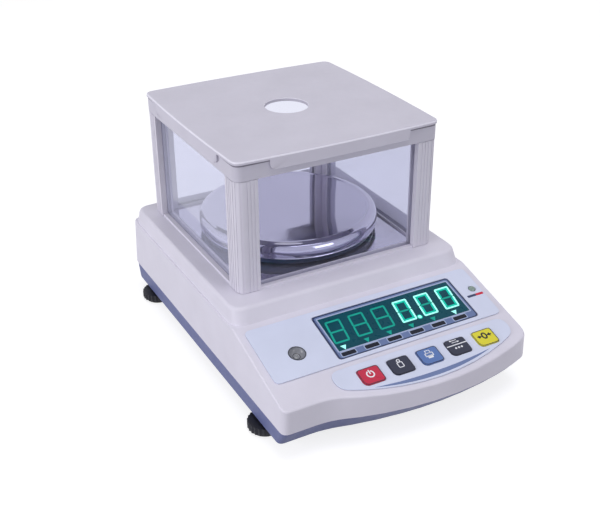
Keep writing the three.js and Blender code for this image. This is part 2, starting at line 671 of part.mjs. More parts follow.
// Levelling feet: a lobed knob on a threaded stud, turning on a rubber pad
function knobShape() {
  const shape = new THREE.Shape();
  const points = 2 * KNOB_LOBES;
  for (let index = 0; index < points; index += 1) {
    const angle = (index * Math.PI) / KNOB_LOBES;
    const radius = KNOB_RADIUS - (index % 2) * KNOB_LOBE_DEPTH;
    const x = radius * Math.cos(angle);
    const y = radius * Math.sin(angle);
    if (index === 0) shape.moveTo(x, y);
    else shape.lineTo(x, y);
  }
  shape.closePath();
  return shape;
}

function footKnob() {
  const body = join(
    plate(knobShape(), PAD_HEIGHT + SEAT, KNOB_TOP_Z),
    rod(0, 0, STUD_RADIUS, PAD_HEIGHT + 2 * SEAT, STUD_TOP_Z, 12),
  );
  return cut(body, rod(0, 0, PIVOT_RADIUS + SEAT, 0, PAD_HEIGHT + PIVOT_HEIGHT + SEAT, 12));
}

function footPad() {
  return join(
    rod(0, 0, PAD_RADIUS, 0, PAD_HEIGHT, 24),
    rod(0, 0, PIVOT_RADIUS, 0, PAD_HEIGHT + PIVOT_HEIGHT, 12),
  );
}

for (const [place, [x, y]] of Object.entries(footPlaces)) {
  piece(`foot_knob_${place}`, footKnob(), 'black').position.set(x, y, 0);
  piece(`foot_pad_${place}`, footPad(), 'rubber').position.set(x, y, 0);
}

// Wind shield: posts, glass and the frame round their tops
function postOutline() {
  const slotNear = GLASS_SETBACK;
  const slotFar = GLASS_SETBACK + SLOT_WIDTH;
  const slotEnd = POST_SIZE - GLASS_BITE;
  const flutes = [FLUTE_FIRST, FLUTE_SECOND].flatMap((middle) => [
    [middle - FLUTE_WIDTH / 2, 0], [middle - FLUTE_WIDTH / 2, FLUTE_DEPTH],
    [middle + FLUTE_WIDTH / 2, FLUTE_DEPTH], [middle + FLUTE_WIDTH / 2, 0],
  ]);
  const face = [
    ...flutes, [POST_SIZE, 0], [POST_SIZE, slotNear], [slotEnd, slotNear],
    [slotEnd, slotFar], [POST_SIZE, slotFar],
  ];
  const mirrored = face.map(([along, inward]) => [inward, along]).reverse();
  const inside = [[POST_SIZE, POST_LEG], [POST_LEG, POST_LEG], [POST_LEG, POST_SIZE]];
  const sharp = [...face, ...inside, ...mirrored].map((point) => [...point, 0]);
  return softOutline([[0, 0, POST_CORNER], ...sharp].map(([x, y, size]) => [
    x - SHIELD_HALF, y - SHIELD_HALF, size,
  ]));
}

function shieldPost() {
  const bottom = PLATFORM_Z + SEAT;
  const top = FRAME_Z - SEAT;
  return join(plate(postOutline(), bottom, top), tenon(0, bottom - TENON_HEIGHT, top + TENON_HEIGHT));
}

function glassPane() {
  return box(
    -GLASS_HALF, GLASS_HALF, -GLASS_MIDDLE - GLASS / 2, -GLASS_MIDDLE + GLASS / 2,
    GROOVE_FLOOR_Z + SEAT, FRAME_Z + FRAME_SLOT - SEAT,
  );
}

function shieldFrame() {
  const top = FRAME_Z + FRAME_HEIGHT;
  return cut(
    plate(square(SHIELD_HALF, FRAME_CORNER), FRAME_Z, top),
    plate(square(SHIELD_HALF - FRAME_WALL, INNER_CORNER), FRAME_Z - PAST, top + PAST),
    ...atEveryTurn(() => glassSlot(FRAME_Z - PAST, FRAME_Z + FRAME_SLOT)),
    ...atEveryTurn(() => tenon(SEAT, FRAME_Z - PAST, FRAME_Z + TENON_HEIGHT)),
  );
}

function aroundShield(mesh, turn) {
  mesh.position.set(0, SHIELD_Y, 0);
  mesh.rotation.z = (turn * Math.PI) / 2;
}

const sides = ['front', 'right', 'rear', 'left'];
corners.forEach((place, turn) => aroundShield(piece(`shield_post_${place}`, shieldPost(), 'shield'), turn));
sides.forEach((place, turn) => aroundShield(piece(`glass_pane_${place}`, glassPane(), 'glass'), turn));
piece('shield_frame', shieldFrame(), 'shield');

// Lid: a thin plate with bowed edges, a lip on each side and a rim that locates it in the frame
function lidOutline(half, bow) {
  const shape = new THREE.Shape();
  const start = half - LID_CORNER;
  const reach = half + 2 * bow;
  const low = SHIELD_Y - half;
  const high = SHIELD_Y + half;
  shape.moveTo(-start, low);
  shape.quadraticCurveTo(0, SHIELD_Y - reach, start, low);
  shape.quadraticCurveTo(half, low, half, low + LID_CORNER);
  shape.quadraticCurveTo(reach, SHIELD_Y, half, high - LID_CORNER);
  shape.quadraticCurveTo(half, high, start, high);
  shape.quadraticCurveTo(0, SHIELD_Y + reach, -start, high);
  shape.quadraticCurveTo(-half, high, -half, high - LID_CORNER);
  shape.quadraticCurveTo(-reach, SHIELD_Y, -half, low + LID_CORNER);
  shape.quadraticCurveTo(-half, low, -start, low);
  return shape;
}

function shieldLid() {
  const top = LID_Z + LID_THICKNESS;
  const within = LID_Z + LID_THICKNESS / 2;
  const far = 2 * LID_HALF;
  const skirt = cut(
    plate(lidOutline(LID_HALF, LID_BOW), LID_Z - LIP_HEIGHT, within, 8),
    plate(square(SHIELD_HALF + SEAT, FRAME_CORNER), LID_Z - LIP_HEIGHT - PAST, within + PAST),
  );
  const acrossX = box(-LIP_HALF, LIP_HALF, SHIELD_Y - far, SHIELD_Y + far, LID_Z - far, top);
  const acrossY = box(-far, far, SHIELD_Y - LIP_HALF, SHIELD_Y + LIP_HALF, LID_Z - far, top);
  const rimOuter = SHIELD_HALF - FRAME_WALL - SEAT;
  const rim = cut(
    plate(square(rimOuter, INNER_CORNER), LID_Z - LID_RIM_HEIGHT, within),
    plate(square(rimOuter - LID_RIM_WALL, INNER_CORNER), LID_Z - LID_RIM_HEIGHT - PAST, LID_Z),
  );
  return cut(
    join(
      plate(lidOutline(LID_HALF, LID_BOW), LID_Z, top, 8),
      common(skirt, acrossX), common(skirt, acrossY), rim,
    ),
    rod(0, SHIELD_Y, LID_HOLE_RADIUS, LID_Z - LID_RIM_HEIGHT - PAST, top + PAST, 32),
  );
}

piece('shield_lid', shieldLid(), 'shield');

// Chamber floor: a polished sheet lying inside the glass rail
const floorSheet = cut(
  plate(square(RAIL_INNER - SEAT, FLOOR_CORNER), FLOOR_TOP_Z - FLOOR_SHEET, FLOOR_TOP_Z),
  rod(0, SHIELD_Y, HUB_HOLE_RADIUS, FLOOR_TOP_Z - 2 * FLOOR_SHEET, FLOOR_TOP_Z + FLOOR_SHEET),
);
piece('chamber_floor', floorSheet, 'floor');

// Pan: a pressed steel disc whose edge rolls down over the carrier
function weighingPan() {
  const steps = 4;
  const shoulderZ = PAN_TOP_Z - PAN_SHOULDER;
  const shoulder = (thickness) => Array.from({ length: steps + 1 }, (_, index) => {
    const angle = (Math.PI / 2) * (1 - index / steps);
    return [
      PAN_FLAT_RADIUS + (PAN_RADIUS - thickness - PAN_FLAT_RADIUS) * Math.cos(angle),
      shoulderZ + (PAN_SHOULDER - thickness) * Math.sin(angle),
    ];
  });
  return turned([
    [0, PAN_TOP_Z - PAN_SHEET],
    ...shoulder(PAN_SHEET),
    [PAN_RADIUS - PAN_SHEET, PAN_EDGE_Z],
    [PAN_RADIUS, PAN_EDGE_Z],
    ...shoulder(0).reverse(),
    [0, PAN_TOP_Z],
  ], 44);
}

piece('weighing_pan', weighingPan(), 'steel').position.y = SHIELD_Y;

const panCarrier = cut(
  rod(0, 0, CARRIER_RADIUS, CARRIER_Z, CARRIER_TOP_Z, 40),
  rod(0, 0, HUB_RADIUS + SEAT, CARRIER_Z - PAST, CARRIER_Z + HUB_BITE),
);
piece('pan_carrier', panCarrier, 'dark').position.y = SHIELD_Y;

corners.forEach((place, turn) => {
  const angle = Math.PI * (1.25 + turn / 2);
  const x = CUSHION_CIRCLE * Math.cos(angle);
  const y = SHIELD_Y + CUSHION_CIRCLE * Math.sin(angle);
  const top = PAN_TOP_Z - PAN_SHEET - SEAT;
  piece(`pan_cushion_${place}`, rod(x, y, CUSHION_RADIUS, CARRIER_TOP_Z + SEAT, top, 16), 'rubber');
});

// Support arm: bolted to the free end of the load cell, with the hub that passes through the floor
function panSupport() {
  const padZ = CELL_TOP_Z + WEIGHING_GAP;
  const armZ = padZ + ARM_PAD;
  const half = CELL_WIDTH / 2;
  return join(
    box(-half, half, CELL_FRONT_Y, CELL_FRONT_Y + CELL_END, padZ, armZ + PAST),
    box(-half, half, CELL_FRONT_Y, SHIELD_Y + half, armZ, armZ + ARM_THICKNESS),
    rod(0, SHIELD_Y, HUB_RADIUS, armZ + PAST, CARRIER_Z + HUB_BITE - SEAT),
  );
}

piece('pan_support', panSupport(), 'aluminium');

// Load cell: a bar with two joined bores, thin above and below them
function loadCell() {
  const half = CELL_WIDTH / 2;
  const middleZ = CELL_Z + CELL_HEIGHT / 2;
  const bores = [-1, 1].map((side) => new THREE.CylinderGeometry(CELL_BORE, CELL_BORE, 2 * CELL_WIDTH, 20)
    .rotateZ(Math.PI / 2)
    .translate(0, SHIELD_Y + (side * CELL_BORE_PITCH) / 2, middleZ));
  const slot = box(
    -CELL_WIDTH, CELL_WIDTH, SHIELD_Y - CELL_BORE_PITCH / 2, SHIELD_Y + CELL_BORE_PITCH / 2,
    middleZ - CELL_SLOT / 2, middleZ + CELL_SLOT / 2,
  );
  return cut(box(-half, half, CELL_FRONT_Y, CELL_REAR_Y, CELL_Z, CELL_TOP_Z), ...bores, slot);
}

piece('load_cell', loadCell(), 'aluminium');
piece('load_cell_mount', box(
  -CELL_WIDTH / 2, CELL_WIDTH / 2, CELL_REAR_Y - CELL_END, CELL_REAR_Y, MOUNT_Z, MOUNT_Z + MOUNT_HEIGHT,
), 'zinc');
piece('chassis_plate', box(
  -CHASSIS_HALF_WIDTH, CHASSIS_HALF_WIDTH, CELL_FRONT_Y - CHASSIS_MARGIN, CELL_REAR_Y + CHASSIS_MARGIN,
  CHASSIS_Z, CHASSIS_Z + CHASSIS_SHEET,
), 'zinc');
piece('overload_stop', rod(
  0, CELL_FRONT_Y + CELL_END / 2, STOP_RADIUS, MOUNT_Z, CELL_Z - WEIGHING_GAP, 6,
), 'zinc');

// Panel sheets: two printed overlays and the display window, lying on the sloped face
const SHEET_Z = SEAT;
const SHEET_TOP = SEAT + OVERLAY;

function windowShape(gap) {
  return roundedRectangle(
    WINDOW_LEFT_X - gap, WINDOW_RIGHT_X + gap,
    -WINDOW_TOP - WINDOW_HEIGHT - gap, -WINDOW_TOP + gap, WINDOW_CORNER,
  );
}

const displayOverlay = cut(
  plate(roundedRectangle(
    -OVERLAY_HALF_WIDTH, OVERLAY_HALF_WIDTH, -OVERLAY_BOTTOM, -OVERLAY_TOP, OVERLAY_CORNER,
  ), SHEET_Z, SHEET_TOP),
  plate(windowShape(SEAT), 0, SHEET_TOP + PAST),
  rod(LEVEL_X, -LEVEL_S, LEVEL_WINDOW_RADIUS, 0, SHEET_TOP + PAST),
  rod(LED_X, -LED_S, LED_RADIUS + SEAT, 0, SHEET_TOP + PAST, 16),
);
piece('display_overlay', displayOverlay, 'overlay', panel);
piece('display_window', plate(windowShape(0), SHEET_Z, SHEET_TOP), 'window', panel);

function keypadShape() {
  const steps = 10;
  const low = [];
  for (let step = 1; step < steps; step += 1) {
    const share = step / steps;
    const x = KEYPAD_LEFT_X + (KEYPAD_RIGHT_X - KEYPAD_LEFT_X) * share;
    low.push([x, -KEYPAD_SIDE - 4 * KEYPAD_SAG * share * (1 - share), 0]);
  }
  return softOutline([
    [KEYPAD_LEFT_X, -KEYPAD_TOP, KEYPAD_CORNER],
    [KEYPAD_LEFT_X, -KEYPAD_SIDE, KEYPAD_CORNER],
    ...low,
    [KEYPAD_RIGHT_X, -KEYPAD_SIDE, KEYPAD_CORNER],
    [KEYPAD_RIGHT_X, -KEYPAD_TOP, KEYPAD_CORNER],
  ]);
}

const keypadOverlay = cut(plate(keypadShape(), SHEET_Z, SHEET_TOP), ...keyHoles(SEAT, 0, SHEET_TOP + PAST));
piece('keypad_overlay', keypadOverlay, 'overlay', panel);

// Keys: caps through the panel, held in by a flange under it
const keyTop = SHEET_TOP + KEY_PROUD;
const keyFlangeTop = -CASE_WALL - SEAT;
for (const { name, x } of keyPlaces) {
  const cap = join(
    plate(keyShape(0), keyFlangeTop - KEY_FLANGE, keyTop, 2),
    plate(keyShape(KEY_FLANGE_MARGIN), keyFlangeTop - KEY_FLANGE, keyFlangeTop, 2),
  );
  piece(`key_${name}`, cap, name, panel).position.set(x, -KEY_S, 0);
}

const keypadBoard = join(
  box(
    keyboardPostXs[0] - KEYBOARD_EDGE, keyboardPostXs[1] + KEYBOARD_EDGE,
    -KEY_S - KEY_HEIGHT / 2, -KEY_S + KEY_HEIGHT / 2,
    KEYBOARD_TOP - BOARD, KEYBOARD_TOP,
  ),
  ...keyPlaces.map(({ x }) => box(
    x - SWITCH_SIZE / 2, x + SWITCH_SIZE / 2, -KEY_S - SWITCH_SIZE / 2, -KEY_S + SWITCH_SIZE / 2,
    KEYBOARD_TOP - BOARD / 2, KEYBOARD_TOP + SWITCH_HEIGHT,
  )),
);
piece('keypad_board', keypadBoard, 'board', panel);

// Display module: its face fills the opening, its wider body lies under the panel
const displayModule = join(
  box(DISPLAY_LEFT_X, DISPLAY_RIGHT_X, -DISPLAY_LOW, -DISPLAY_HIGH, keyFlangeTop - PAST, 0),
  box(
    DISPLAY_LEFT_X - DISPLAY_FLANGE, DISPLAY_RIGHT_X + DISPLAY_FLANGE,
    -DISPLAY_LOW - DISPLAY_FLANGE, -DISPLAY_HIGH + DISPLAY_FLANGE,
    keyFlangeTop - DISPLAY_BODY, keyFlangeTop,
  ),
);
piece('display_module', displayModule, 'display', panel);

const indicator = turned([
  [0, -LED_DEPTH], [LED_RADIUS, -LED_DEPTH], [LED_RADIUS, SHEET_TOP],
  [LED_SHOULDER_RADIUS, SHEET_TOP + LED_SHOULDER_PROUD], [0, SHEET_TOP + LED_PROUD],
], 16);
piece('charge_indicator', indicator, 'led', panel).position.set(LED_X, -LED_S, 0);

// Level: a round vial lying flat in a cup under its window in the sloped panel
const levelMiddle = new THREE.Vector3(LEVEL_X, -LEVEL_S, 0).applyMatrix4(panel.matrix);
const cupRadius = VIAL_RADIUS + SEAT + HOLDER_WALL;
const vialTop = levelMiddle.z - CASE_WALL / Math.cos(SLOPE) - VIAL_RADIUS * Math.tan(SLOPE) - 2 * SEAT;
const cupFloor = vialTop - VIAL_HEIGHT - SEAT;
const levelCup = cut(
  rod(levelMiddle.x, levelMiddle.y, cupRadius, cupFloor - HOLDER_WALL, levelMiddle.z),
  spaceOverPanel(-CASE_WALL - SEAT),
  rod(levelMiddle.x, levelMiddle.y, VIAL_RADIUS + SEAT, cupFloor, levelMiddle.z + PAST),
);
piece('level_holder', levelCup, 'black');
piece('level_vial', rod(levelMiddle.x, levelMiddle.y, VIAL_RADIUS, vialTop - VIAL_HEIGHT, vialTop), 'vial');

// Electronics and battery
piece('main_board', box(
  -MAIN_BOARD_HALF_WIDTH, MAIN_BOARD_HALF_WIDTH, MAIN_BOARD_FRONT_Y, MAIN_BOARD_REAR_Y,
  MAIN_BOARD_Z, MAIN_BOARD_Z + BOARD,
), 'board');
const buzzerZ = MAIN_BOARD_Z + BOARD + SEAT;
piece('buzzer', rod(
  BUZZER_X, (MAIN_BOARD_FRONT_Y + MAIN_BOARD_REAR_Y) / 2, BUZZER_RADIUS, buzzerZ, buzzerZ + BUZZER_HEIGHT, 20,
), 'black');
piece('battery_pack', box(
  CHASSIS_HALF_WIDTH + BATTERY_INNER_GAP, HALF_WIDTH - BATTERY_SIDE_GAP,
  SHIELD_Y - BATTERY_LENGTH / 2, SHIELD_Y + BATTERY_LENGTH / 2,
  TRAY_FLOOR_Z + SEAT, TRAY_FLOOR_Z + SEAT + BATTERY_HEIGHT,
), 'battery');
piece('socket_board', box(
  -SOCKET_BOARD_HALF_WIDTH, SOCKET_BOARD_HALF_WIDTH, socketBoardRearY - SOCKET_BOARD_DEPTH, socketBoardRearY,
  SOCKET_BOARD_Z, SOCKET_BOARD_Z + BOARD,
), 'board');

// Rear sockets
function socketBody(x, width, height) {
  return box(
    x - width / 2, x + width / 2, socketFaceY - SOCKET_DEPTH, socketFaceY,
    socketFloorZ, socketFloorZ + height,
  );
}

function alongY(radius, x, z, y0, y1, sides = 16) {
  const geometry = new THREE.CylinderGeometry(radius, radius, y1 - y0, sides);
  return geometry.translate(x, (y0 + y1) / 2, z);
}

const inletZ = socketFloorZ + INLET_HEIGHT / 2;
const inlet = join(
  cut(
    socketBody(INLET_X, INLET_WIDTH, INLET_HEIGHT),
    alongY(INLET_BORE, INLET_X, inletZ, socketFaceY - INLET_BORE_DEPTH, socketFaceY + PAST),
  ),
  alongY(
    INLET_PIN, INLET_X, inletZ,
    socketFaceY - INLET_BORE_DEPTH - PAST, socketFaceY - INLET_PIN_RECESS, 8,
  ),
);
piece('power_inlet', inlet, 'black');

const portZ = socketFloorZ + PORT_HEIGHT / 2;
const port = cut(
  socketBody(PORT_X, PORT_WIDTH, PORT_HEIGHT),
  box(
    PORT_X - PORT_MOUTH_WIDTH / 2, PORT_X + PORT_MOUTH_WIDTH / 2,
    socketFaceY - PORT_MOUTH_DEPTH, socketFaceY + PAST,
    portZ - PORT_MOUTH_HEIGHT / 2, portZ + PORT_MOUTH_HEIGHT / 2,
  ),
);
piece('serial_port', port, 'zinc');

export default balance;
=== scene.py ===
import math

import bmesh
import bpy
from mathutils import Matrix, Vector


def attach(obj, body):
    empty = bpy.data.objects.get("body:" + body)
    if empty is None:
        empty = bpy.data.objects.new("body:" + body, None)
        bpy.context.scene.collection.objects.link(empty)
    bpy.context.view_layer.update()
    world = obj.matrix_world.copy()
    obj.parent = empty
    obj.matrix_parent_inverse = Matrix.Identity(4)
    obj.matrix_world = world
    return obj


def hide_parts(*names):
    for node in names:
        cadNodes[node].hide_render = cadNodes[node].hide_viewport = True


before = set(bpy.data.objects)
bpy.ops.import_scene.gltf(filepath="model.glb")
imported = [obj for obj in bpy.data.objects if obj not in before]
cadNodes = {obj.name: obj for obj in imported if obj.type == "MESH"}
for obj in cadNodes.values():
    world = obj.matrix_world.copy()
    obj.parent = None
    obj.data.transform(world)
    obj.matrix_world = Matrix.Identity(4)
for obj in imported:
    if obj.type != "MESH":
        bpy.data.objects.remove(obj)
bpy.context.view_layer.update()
mm = 0.001
sameHeight = 0.05  # mm, how close a face or edge lies to the height it is looked for at
sameSpot = 0.002  # mm, points closer than this are merged
flatTurn = 0.4  # degrees, faces that turn less than this count as one flat face
corners = ("front_left", "front_right", "rear_left", "rear_right")


# Camera at the photograph's angle
camera = {
    "eye": (-0.3070, -0.5432, 0.4039),
    "right": (0.8768, -0.4808, -0.0048),
    "up": (0.2308, 0.4123, 0.8813),
    "lens": 58.94,
    "sensor": 36,
    "shift": (-0.00847, -0.00362),
    "clip": (0.05, 20),
}


def setCamera():
    lensData = bpy.data.cameras.new("studioCamera")
    lensData.lens = camera["lens"]
    lensData.sensor_width = camera["sensor"]
    lensData.shift_x, lensData.shift_y = camera["shift"]
    lensData.clip_start, lensData.clip_end = camera["clip"]
    viewer = bpy.data.objects.new("studioCamera", lensData)
    bpy.context.scene.collection.objects.link(viewer)
    right = Vector(camera["right"]).normalized()
    back = right.cross(Vector(camera["up"])).normalized()
    up = back.cross(right)
    turn = Matrix((right, up, back)).transposed().to_4x4()
    viewer.matrix_world = Matrix.Translation(camera["eye"]) @ turn
    bpy.context.scene.camera = viewer


setCamera()
print("camera set")


# Floor, white surroundings and soft lamps
studio = {
    "worldLight": 0.42,
    "worldTint": (0.97, 0.97, 1.0),
    "floorSize": 2.2,
    "floorPale": (0.42, 0.42, 0.44),
    "floorGlow": 0.77,
    "lampTint": (0.985, 0.98, 1.02),
    "lamps": [
        # name, place, aim, size, watts
        ("lampLeft", (-1.65, -0.1, 0.5), (0, 0, 0.08), 0.9, 12.7),
        ("lampTop", (0.05, -0.25, 1.7), (0, 0, 0.06), 0.9, 8.7),
        ("lampFront", (0.5, -1.7, 0.6), (0, 0, 0.08), 0.8, 4.8),
    ],
}


def addNode(tree, kind, **inputs):
    node = tree.nodes.new(kind)
    for name, value in inputs.items():
        node.inputs[name].default_value = value
    return node


def anyRay(tree, kinds):
    # 1 for rays of any of the kinds
    rays = tree.nodes.new("ShaderNodeLightPath")
    total = None
    for name in kinds:
        if total is None:
            total = rays.outputs[name]
            continue
        larger = tree.nodes.new("ShaderNodeMath")
        larger.operation = "MAXIMUM"
        tree.links.new(total, larger.inputs[0])
        tree.links.new(rays.outputs[name], larger.inputs[1])
        total = larger.outputs[0]
    return total


def seenDirectly(tree):
    # the surroundings as the camera, gloss and glass see them
    return anyRay(tree, ("Is Camera Ray", "Is Glossy Ray", "Is Transmission Ray"))


def setSurroundings():
    world = bpy.data.worlds.new("studioWorld")
    bpy.context.scene.world = world
    world.use_nodes = True
    tree = world.node_tree
    tree.nodes.clear()
    lighting = addNode(tree, "ShaderNodeBackground", Color=(*studio["worldTint"], 1),
                       Strength=studio["worldLight"])
    white = addNode(tree, "ShaderNodeBackground", Color=(1, 1, 1, 1), Strength=1)
    choose = tree.nodes.new("ShaderNodeMixShader")
    tree.links.new(seenDirectly(tree), choose.inputs[0])
    tree.links.new(lighting.outputs[0], choose.inputs[1])
    tree.links.new(white.outputs[0], choose.inputs[2])
    out = tree.nodes.new("ShaderNodeOutputWorld")
    tree.links.new(choose.outputs[0], out.inputs[0])


def setFloor():
    bpy.ops.mesh.primitive_plane_add(size=studio["floorSize"], location=(0, 0, 0))
    floor = bpy.context.object
    floor.name = "studioFloor"
    material = bpy.data.materials.new("paleFloor")
    material.use_nodes = True
    tree = material.node_tree
    tree.nodes.clear()
    paper = addNode(tree, "ShaderNodeBsdfDiffuse", Color=(*studio["floorPale"], 1))
    glow = addNode(tree, "ShaderNodeEmission", Color=(1, 1, 1, 1), Strength=studio["floorGlow"])
    dark = addNode(tree, "ShaderNodeEmission", Color=(0, 0, 0, 1), Strength=0)
    choose = tree.nodes.new("ShaderNodeMixShader")
    tree.links.new(seenDirectly(tree), choose.inputs[0])
    tree.links.new(dark.outputs[0], choose.inputs[1])
    tree.links.new(glow.outputs[0], choose.inputs[2])
    both = tree.nodes.new("ShaderNodeAddShader")
    tree.links.new(paper.outputs[0], both.inputs[0])
    tree.links.new(choose.outputs[0], both.inputs[1])
    out = tree.nodes.new("ShaderNodeOutputMaterial")
    tree.links.new(both.outputs[0], out.inputs[0])
    floor.data.materials.append(material)


def setLamps():
    for name, place, aim, size, watts in studio["lamps"]:
        data = bpy.data.lights.new(name, "AREA")
        data.shape = "SQUARE"
        data.size = size
        data.energy = watts
        data.color = studio["lampTint"]
        lamp = bpy.data.objects.new(name, data)
        bpy.context.scene.collection.objects.link(lamp)
        way = Vector(aim) - Vector(place)
        lamp.matrix_world = Matrix.Translation(place) @ way.to_track_quat("-Z", "Y").to_matrix().to_4x4()


setSurroundings()
setFloor()
setLamps()
bpy.context.scene.view_settings.view_transform = "Standard"
print("studio set")


# Finishes
pattern = {
    "range": (0.3, 0.7),  # the part of a noise that the colour or roughness is spread over
    "patchDetail": 4,
    "grainDetail": 2,
    "wearDetail": 3,
    "wearFineness": 6,
    "leastRough": 0.01,
    "metalShine": 0.5,
}


def tone(red, green, blue):
    # a colour as it is seen on screen, turned to linear light
    def linear(level):
        level /= 255
        return level / 12.92 if level <= 0.04045 else ((level + 0.055) / 1.055) ** 2.4
    return (linear(red), linear(green), linear(blue), 1)


def objectNoise(tree, scale, detail, stretch=(1, 1, 1)):
    place = tree.nodes.new("ShaderNodeTexCoord")
    mapping = tree.nodes.new("ShaderNodeMapping")
    mapping.inputs["Scale"].default_value = stretch
    tree.links.new(place.outputs["Object"], mapping.inputs["Vector"])
    noise = addNode(tree, "ShaderNodeTexNoise", Scale=scale, Detail=detail)
    tree.links.new(mapping.outputs[0], noise.inputs["Vector"])
    return noise.outputs["Fac"]


def mapped(tree, source, inside, outside):
    spread = addNode(tree, "ShaderNodeMapRange")
    for ends, values in (("From", inside), ("To", outside)):
        for end, value in zip(("Min", "Max"), values):
            spread.inputs[ends + " " + end].default_value = value
    tree.links.new(source, spread.inputs["Value"])
    return spread.outputs["Result"]


def between(tree, source, low, high):
    return mapped(tree, source, pattern["range"], (low, high))


def makeFinish(name, colour, rough, patch=35, uneven=0.03, grain=2600, bump=0.1, depth=0.00008,
               spread=0.05, stretch=(1, 1, 1), metal=0, coat=0, glow=None, shine=0.3):
    material = bpy.data.materials.new(name)
    material.use_nodes = True
    tree = material.node_tree
    shader = tree.nodes["Principled BSDF"]
    patches = objectNoise(tree, patch, pattern["patchDetail"], stretch)
    ramp = tree.nodes.new("ShaderNodeValToRGB")
    for stop, place, share in zip(ramp.color_ramp.elements, pattern["range"], (1 - uneven, 1 + uneven)):
        stop.position = place
        stop.color = tuple(min(part * share, 1) for part in colour[:3]) + (1,)
    tree.links.new(patches, ramp.inputs[0])
    tree.links.new(ramp.outputs[0], shader.inputs["Base Color"])
    fine = objectNoise(tree, grain, pattern["grainDetail"], stretch)
    relief = addNode(tree, "ShaderNodeBump", Strength=bump, Distance=depth)
    tree.links.new(fine, relief.inputs["Height"])
    tree.links.new(relief.outputs[0], shader.inputs["Normal"])
    wear = objectNoise(tree, patch * pattern["wearFineness"], pattern["wearDetail"], stretch)
    smoothest = max(rough - spread, pattern["leastRough"])
    tree.links.new(between(tree, wear, smoothest, rough + spread), shader.inputs["Roughness"])
    shader.inputs["Metallic"].default_value = metal
    shader.inputs["Specular IOR Level"].default_value = pattern["metalShine"] if metal else shine
    shader.inputs["Coat Weight"].default_value = coat
    if glow:
        shader.inputs["Emission Color"].default_value = colour
        shader.inputs["Emission Strength"].default_value = glow
    return material


sheetGlass = {
    "tint": (0.874, 0.879, 0.929, 1),
    # painted sheen: a pale colour laid on the glass where it is seen at a slant, standing in for reflection
    "sheenTint": (0.74, 0.77, 0.97, 1),
    "sheenFrom": (0.25, 0.6),  # how far the sheet turns away before the painted sheen starts, and where it is full
    "sheenShare": (0, 0.3),
    "mirror": 1.3,
    "gloss": (0.01, 0.04),
    "smears": 30,
    "smearDetail": 3,
}


def makeGlass(name):
    # thin sheet: what is behind shows straight through, tinted, with a mirror image on the outer faces
    material = bpy.data.materials.new(name)
    material.use_nodes = True
    tree = material.node_tree
    tree.nodes.clear()
    clear = addNode(tree, "ShaderNodeBsdfTransparent", Color=sheetGlass["tint"])
    mirror = addNode(tree, "ShaderNodeBsdfGlossy", Color=(1, 1, 1, 1))
    smears = objectNoise(tree, sheetGlass["smears"], sheetGlass["smearDetail"])
    tree.links.new(between(tree, smears, *sheetGlass["gloss"]), mirror.inputs["Roughness"])
    edge = addNode(tree, "ShaderNodeFresnel", IOR=sheetGlass["mirror"])
    # a painted pale sheen, standing in for reflection, where the sheet is seen at a slant
    paintedSheen = addNode(tree, "ShaderNodeBsdfDiffuse", Color=sheetGlass["sheenTint"])
    facing = addNode(tree, "ShaderNodeLayerWeight", Blend=0.5)
    slant = mapped(tree, facing.outputs["Facing"], sheetGlass["sheenFrom"], sheetGlass["sheenShare"])
    side = tree.nodes.new("ShaderNodeNewGeometry")
    outer = tree.nodes.new("ShaderNodeMath")
    outer.operation = "SUBTRACT"
    outer.inputs[0].default_value = 1
    tree.links.new(side.outputs["Backfacing"], outer.inputs[1])
    sheet = clear
    for share, layer in ((slant, paintedSheen), (edge.outputs[0], mirror)):
        # each layer lies on the outer faces alone
        outerShare = tree.nodes.new("ShaderNodeMath")
        outerShare.operation = "MULTIPLY"
        tree.links.new(share, outerShare.inputs[0])
        tree.links.new(outer.outputs[0], outerShare.inputs[1])
        layered = tree.nodes.new("ShaderNodeMixShader")
        tree.links.new(outerShare.outputs[0], layered.inputs[0])
        tree.links.new(sheet.outputs[0], layered.inputs[1])
        tree.links.new(layer.outputs[0], layered.inputs[2])
        sheet = layered
    # light on its way to the pieces inside passes without loss
    passing = addNode(tree, "ShaderNodeBsdfTransparent", Color=(1, 1, 1, 1))
    whole = tree.nodes.new("ShaderNodeMixShader")
    tree.links.new(anyRay(tree, ("Is Shadow Ray", "Is Diffuse Ray")), whole.inputs[0])
    tree.links.new(sheet.outputs[0], whole.inputs[1])
    tree.links.new(passing.outputs[0], whole.inputs[2])
    out = tree.nodes.new("ShaderNodeOutputMaterial")
    tree.links.new(whole.outputs[0], out.inputs[0])
    return material


